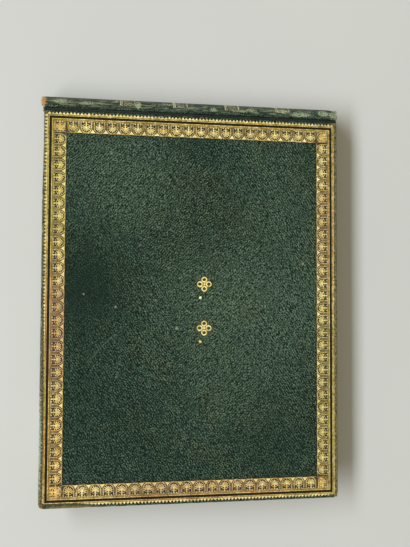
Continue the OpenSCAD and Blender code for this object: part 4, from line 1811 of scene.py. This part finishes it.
@dataclass
class Joint:
    """The leather and the endpaper where a cover joins the back."""

    book: Book
    side: Side
    rows: int = 60

    def put(self, points: Sequence[Flat]) -> list[Flat]:
        """Places of a section on this cover's side of the book."""
        if self.side is Side.FRONT:
            return list(points)
        return [(x, self.book.thickness - z) for x, z in points]

    def strip(
        self, name: str, outer: Sequence[Flat], inner: Sequence[Flat], half: float,
        material: bpy.types.Material,
    ) -> bpy.types.Object:
        """A strip of constant section along the joint.

        Args:
            name: The piece's name.
            outer: Its outer line in X and Z.
            inner: Its inner line, as many points.
            half: Half of its length.
            material: Its finish.

        Returns:
            The piece, not yet fixed to a body.
        """
        section = self.put(list(outer) + list(inner)[::-1])
        places = [-half + 2 * half * k / self.rows for k in range(self.rows + 1)]
        loops = [[(x, y, z) for x, z in section] for y in places]
        shape = Shape()
        shape.sweep(loops, closed=True, capped=True)
        return shape.build(name, [material], 60.0)

    def leather(self, material: bpy.types.Material) -> None:
        """The skin across the groove, from the shoulder onto the cover.

        Args:
            material: Its finish.
        """
        b = self.book
        top = b.thickness
        floor = top - b.groove_depth + 0.02
        groove, joint = b.groove_x, b.joint_x
        line = [
            (groove - 1.05, top - 0.82), (groove - 0.85, floor + 0.30), (groove - 0.45, floor + 0.06),
            (groove, floor), (groove + 0.45, floor), (groove + 0.78, floor + 0.02),
            (joint - 0.20, floor + 0.05), (joint - 0.06, floor + 0.16), (joint - 0.02, floor + 0.40),
            (joint + 0.02, top - 0.62), (joint + 0.18, top - 0.38), (joint + 0.42, top - 0.20),
        ]
        under = [(x + 0.02, z - 0.22) if i < 7 else (x + 0.10, z - 0.10) for i, (x, z) in enumerate(line)]
        piece = self.strip(f"{self.side.value}_joint_leather", line, under, b.half_h - 0.5, material)
        start, end = self.put([(groove - 0.7, floor), (joint - 0.04, floor)])
        self.side.body
        start[0] * MM
        start[1] * MM
        end[0] * MM
        start[1] * MM
        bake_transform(piece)

    def paper(self, material: bpy.types.Material) -> None:
        """The fold of the endpaper between the leaves and the cover.

        Args:
            material: Its finish.
        """
        b = self.book
        leaf = span("front_flyleaf")[1].z
        inner = b.thickness - b.cover_t
        gap_low, gap_high = b.back_x, b.joint_x
        rise = 1.35
        block_leg, cover_leg = gap_low + 0.06, gap_high - 0.05
        middle, radius = (block_leg + cover_leg) / 2, (cover_leg - block_leg) / 2
        line = [(gap_low + 1.6, leaf + 0.03), (gap_low + 0.7, leaf + 0.035), (gap_low + 0.25, leaf + 0.05)]
        fold = arc(middle, leaf + rise, radius, 180, 0, 10)
        line += [(block_leg, leaf + 0.20), *fold, (cover_leg, inner + 0.04)]
        line += [
            (gap_high + 0.5, inner - 0.06), (gap_high + 2.0, inner - 0.05), (gap_high + 4.1, inner - 0.04),
        ]
        under = [(x, z + 0.03) for x, z in line[:3]] + [(block_leg + 0.03, leaf + 0.22)]
        under += arc(middle, leaf + rise, radius - 0.03, 180, 0, 10)
        under += [(cover_leg - 0.03, inner - 0.05)] + [(x, z - 0.03) for x, z in line[-3:]]
        piece = self.strip(f"{self.side.value}_endpaper_fold", line, under, b.block_half_h - 0.4, material)
        start, end = self.put([(block_leg + 0.05, leaf), (cover_leg - 0.05, leaf)])
        self.side.body
        start[0] * MM
        start[1] * MM
        end[0] * MM
        end[1] * MM
        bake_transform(piece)


@dataclass
class Leaves:
    """The sewn leaves as a stack of thin layers, each trimmed a little unevenly."""

    book: Book
    layers: int = 46
    hollow: float = 2.6
    steps_along: int = 77
    steps_across: int = 58

    def build(self, edges: bpy.types.Material) -> None:
        """Makes the piece.

        Args:
            edges: Finish of the trimmed edges.
        """
        b = self.book
        rng = random.Random(5)
        low, high = b.block_low, b.block_high
        thick = high - low
        sewn = b.back_r - b.leather_t - 0.4
        hollow_r = (thick * thick / 4 + self.hollow ** 2) / (2 * self.hollow)
        rows: list[tuple[float, float]] = []
        for k in range(self.layers):
            bottom, top = low + thick * k / self.layers, low + thick * (k + 1) / self.layers
            nap = rng.uniform(0.0, 0.09)
            rows += [(bottom + 0.03, nap), (top - 0.03, nap), (top, nap + 0.10)]
        rows = [(low, 0.08)] + rows[:-1] + [(high, 0.08)]
        loops: list[list[Point]] = []
        for z, nap in rows:
            rise = z - b.mid_z
            fore = b.block_fore_x - (math.sqrt(hollow_r ** 2 - rise ** 2) - hollow_r + self.hollow) - nap
            back = b.back_x - math.sqrt(max(sewn ** 2 - rise ** 2, 1.0)) + 0.12
            half = b.block_half_h - nap
            loops.append(self.outline(back, fore, half, z))
        shape = Shape()
        shape.sweep(loops, closed=True, capped=True)
        self.shoulders(shape, sewn)
        piece = shape.build("sewn_leaves", [edges], 30.0)
        settle(piece, "book_block", "leaves", "text_block")

    def outline(self, back: float, fore: float, half: float, z: float) -> list[Point]:
        """One layer's outline.

        Args:
            back: Its side at the spine.
            fore: Its side at the fore-edge.
            half: Half of its length.
            z: Its height.

        Returns:
            The points, anticlockwise from above.
        """
        along, tall = self.steps_along, self.steps_across
        points: list[Point] = []
        for i in range(along):
            x = back + (fore - back) * i / along
            points.append((x, -half + 0.10 * abs(wobble(x * 0.05, z * 0.5, 6.0)), z))
        for i in range(tall):
            y = -half + 2 * half * i / tall
            points.append((fore - 0.12 * abs(wobble(y * 0.04, z * 0.5, 7.0)), y, z))
        for i in range(along):
            x = fore + (back - fore) * i / along
            points.append((x, half - 0.10 * abs(wobble(x * 0.05, z * 0.5, 9.0)), z))
        for i in range(tall):
            points.append((back, half - 2 * half * i / tall, z))
        return points

    def shoulders(self, shape: Shape, sewn: float) -> None:
        """The two ridges where the outer leaves are beaten over at the back.

        Args:
            shape: The shape that gets them.
            sewn: Radius of the sewn back.
        """
        b = self.book
        top = b.thickness
        limit = top - b.groove_depth - b.leather_t - 0.4
        for upper in (True, False):
            base = (b.block_high if upper else top - b.block_low) + 0.01
            inner_x = b.back_x - 0.02
            section = [(inner_x, base), (inner_x, limit - 0.12), (b.groove_x - 0.4, limit - 0.1)]
            start = math.degrees(math.asin(min(0.999, (limit - 0.1 - b.mid_z) / sewn)))
            stop = math.degrees(math.asin((base - b.mid_z) / sewn))
            reach = sewn - 0.08
            for k in range(5):
                a = math.radians(start + (stop - start) * k / 4)
                section.append((b.back_x - reach * math.cos(a), b.mid_z + reach * math.sin(a)))
            half = b.block_half_h - 0.1
            loops = []
            steps = 29
            for k in range(steps + 1):
                y = -half + 2 * half * k / steps
                loops.append([(x, y, z if upper else top - z) for x, z in section])
            shape.sweep(loops, closed=True, capped=True)


@dataclass
class Endband:
    """A silk-wound band at one end of the back."""

    book: Book
    end: End
    core_r: float = 0.98
    turns: float = 56.0
    reach: float = 73.0
    steps: int = 360

    def build(self, silk: bpy.types.Material) -> None:
        """Makes the piece.

        Args:
            silk: Its finish.
        """
        b = self.book
        node = f"{self.end.name.lower()}_endband"
        low, high = span(node)
        foot = low.y if self.end is End.HEAD else high.y
        tall = high.y - low.y
        radius = b.back_r - b.leather_t - 0.3 - self.core_r - 0.1
        loops: list[list[Point]] = []
        for k in range(self.steps + 1):
            a = math.radians(-self.reach + 2 * self.reach * k / self.steps)
            bead = self.core_r * (0.93 + 0.07 * abs(math.sin(a * self.turns / 2)))
            loop = []
            for m in range(12):
                t = 2 * math.pi * m / 12
                out = radius + bead * math.cos(t)
                up = tall / 2 + (tall / 2 - 0.02) * bead / self.core_r * math.sin(t)
                y = foot + self.end.value * up
                loop.append((b.back_x - out * math.cos(a), y, b.mid_z + out * math.sin(a)))
            loops.append(loop)
        shape = Shape()
        shape.sweep(loops, closed=True, capped=True)
        settle(shape.build(f"{node}_silk", [silk], 60.0), "book_block", "endband_silk", node)


@dataclass
class Studio:
    """The pale floor, the soft light from the tail side, and the camera above the book."""

    focal_px: float = 700.0
    frame_px: float = 547.0
    sensor: float = 36.0
    eye: Point = (0.00273, -0.05945, 0.43662)
    turn: Point = (2.435, -9.017, 90.259)
    floor_size: float = 3.0
    floor_drop: float = 0.0002
    key_watts: float = 235.0
    key_place: Point = (0.0, -3.0, 2.95)
    key_size: Flat = (6.7, 1.0)
    key_tint: Colour = (0.95, 1.0, 1.03)
    fill: float = 0.375
    fill_tint: Colour = (1.0, 0.90, 0.64)
    backdrop: float = 0.80

    def build(self) -> None:
        """Makes the floor, the lights, the world and the camera."""
        self.floor()
        self.light()
        self.world()
        self.camera()

    def floor(self) -> None:
        """A pale floor just under the book."""
        graph = Graph("floor_paint")
        cloud = graph.noise(0.004, 2.0)
        colour = graph.mix(cloud.ramp(0.2, 0.8), (0.605, 0.615, 0.615), (0.635, 0.645, 0.645))
        material = graph.finish(Base_Color=colour, Roughness=0.8, Specular_IOR_Level=0.2)
        half = self.floor_size / 2
        mesh = bpy.data.meshes.new("floor")
        corners = [(-half, -half), (half, -half), (half, half), (-half, half)]
        mesh.from_pydata([(x, y, -self.floor_drop) for x, y in corners], [], [(0, 1, 2, 3)])
        mesh.materials.append(material)
        floor = bpy.data.objects.new("floor", mesh)
        bpy.context.scene.collection.objects.link(floor)

    def light(self) -> None:
        """A long soft light on the tail side, as from a window."""
        lamp = bpy.data.lights.new("key", "AREA")
        lamp.shape = "RECTANGLE"
        lamp.size, lamp.size_y = self.key_size
        lamp.energy = self.key_watts
        lamp.color = self.key_tint
        key = bpy.data.objects.new("key", lamp)
        key.location = self.key_place
        aim = Vector((0.0, 0.0, 0.0)) - Vector(self.key_place)
        key.rotation_euler = aim.to_track_quat("-Z", "Y").to_euler()
        bpy.context.scene.collection.objects.link(key)

    def world(self) -> None:
        """An even fill, which shows as a pale backdrop to the camera and in reflections."""
        world = bpy.data.worlds.new("room")
        world.use_nodes = True
        tree = world.node_tree
        tree.nodes.clear()
        path = tree.nodes.new("ShaderNodeLightPath")
        seen = tree.nodes.new("ShaderNodeMath")
        seen.operation = "MAXIMUM"
        tree.links.new(path.outputs["Is Camera Ray"], seen.inputs[0])
        tree.links.new(path.outputs["Is Transmission Ray"], seen.inputs[1])
        both = tree.nodes.new("ShaderNodeMath")
        both.operation = "MAXIMUM"
        tree.links.new(seen.outputs[0], both.inputs[0])
        tree.links.new(path.outputs["Is Glossy Ray"], both.inputs[1])
        fill = tree.nodes.new("ShaderNodeBackground")
        fill.inputs["Color"].default_value = (*self.fill_tint, 1.0)
        fill.inputs["Strength"].default_value = self.fill
        backdrop = tree.nodes.new("ShaderNodeBackground")
        backdrop.inputs["Color"].default_value = (1.0, 1.0, 0.99, 1.0)
        backdrop.inputs["Strength"].default_value = self.backdrop
        blend = tree.nodes.new("ShaderNodeMixShader")
        tree.links.new(both.outputs[0], blend.inputs[0])
        tree.links.new(fill.outputs[0], blend.inputs[1])
        tree.links.new(backdrop.outputs[0], blend.inputs[2])
        output = tree.nodes.new("ShaderNodeOutputWorld")
        tree.links.new(blend.outputs[0], output.inputs["Surface"])
        bpy.context.scene.world = world

    def camera(self) -> None:
        """The camera, where the photograph's geometry puts it."""
        lens = bpy.data.cameras.new("camera")
        lens.sensor_fit = "AUTO"
        lens.sensor_width = self.sensor
        lens.lens = self.focal_px / self.frame_px * self.sensor
        lens.clip_start, lens.clip_end = 0.01, 20.0
        camera = bpy.data.objects.new("camera", lens)
        camera.location = self.eye
        camera.rotation_euler = tuple(math.radians(a) for a in self.turn)
        bpy.context.scene.collection.objects.link(camera)
        bpy.context.scene.camera = camera
        bpy.context.scene.view_settings.view_transform = "Standard"


@dataclass
class InnerParts:
    """The pieces that stay as the frame has them and only get a finish."""

    book: Book
    boards: Plain = Plain((0.33, 0.25, 0.16), (0.21, 0.155, 0.10))
    lining: Plain = Plain((0.46, 0.38, 0.27), (0.33, 0.26, 0.17), (0.6, 0.3, 1.0))
    cords: Plain = Plain((0.62, 0.52, 0.34), (0.40, 0.31, 0.18), (1.0, 3.0, 1.0))

    def dress(self) -> None:
        """Gives each node its finish."""
        paper = Paper()
        finishes = {
            "front_board": self.boards.material("front_millboard"),
            "back_board": self.boards.material("back_millboard"),
            "spine_lining": self.lining.material("lining_paper"),
            "sewing_cords": self.cords.material("hemp_cord"),
        }
        for name in ("front_pastedown", "back_pastedown", "front_flyleaf", "back_flyleaf"):
            low, high = span(name)
            finishes[name] = paper.material(f"{name}_paper", low, high)
        for name, material in finishes.items():
            node = frame["nodes"][name]
            node.data.materials.clear()
            node.data.materials.append(material)
            LOG.info("%s dressed", name)


def main() -> None:
    """Builds the book's looks round the frame, in the order that the book is bound."""
    logging.basicConfig(level=logging.INFO, format="%(name)s: %(message)s")
    book = Book.from_frame()
    InnerParts(book).dress()
    Leaves(book).build(LeafEdges().material("leaf_edges"))
    silk = Silk().material("endband_thread", book)
    for end in End:
        Endband(book, end).build(silk)
    golds = Golds.for_covers(book)
    worn_gold = Gilt(
        (0.50, 0.44, 0.24), (0.90, 0.85, 0.60), (0.14, 0.13, 0.05), leather=BackLeather.green,
        wear=0.95, shine=0.3, tinting=0.1,
        bare=(((-112.6, 0.0, 20.0), (5.3, FAR, 5.3), 1.0), ((-112.6, 0.0, 0.0), (5.3, FAR, 5.3), 1.0)),
    )
    BackSkin(book).build(BackLeather().material(book), worn_gold.material("back_gold", book))
    broken = Plain((0.24, 0.28, 0.17), (0.04, 0.06, 0.03)).material("broken_leather")
    head, tail, back = book.half_h, -book.half_h, book.back_x
    Fibres("back_frayed_fibres", "book_block", (
        Tuft((back - 5.5, head - 0.15, 14.5), (2.6, 0.05, 2.4), (-0.25, 1.0, 0.35), 34, 2.1),
        Tuft((back - 8.6, head - 0.15, 10.0), (0.7, 0.05, 4.0), (-0.5, 1.0, 0.0), 12, 1.4),
        Tuft((back - 6.4, tail - 1.0, 13.6), (1.6, 0.1, 2.0), (-0.2, -1.0, 0.3), 14, 1.0),
    )).build(broken)
    Fibres("front_frayed_fibres", "front_cover", (
        Tuft((100.6, head - 0.55, 18.8), (1.6, 0.05, 0.5), (0.0, 1.0, 0.3), 12, 1.3),
        Tuft((book.fore_x - 1.0, head - 0.9, 18.7), (0.5, 0.2, 0.5), (0.7, 0.8, 0.2), 8, 1.1),
        Tuft((69.5, tail + 0.6, 18.8), (1.6, 0.05, 0.5), (0.0, -1.0, 0.3), 7, 0.9),
    )).build(broken)
    joint_leather = JointLeather().material("joint_leather")
    low, high = span("front_flyleaf")
    joint_paper = Paper().material("joint_paper", low, high)
    for side in Side:
        CoverSkin(book, side).build(CoverLeather().material(book, side))
        GiltBorder(book, side).build(golds)
        joint = Joint(book, side)
        joint.leather(joint_leather)
        joint.paper(joint_paper)
    Fleurons(book).build(golds.leaf)
    Studio().build()


if __name__ == "__main__":
    main()
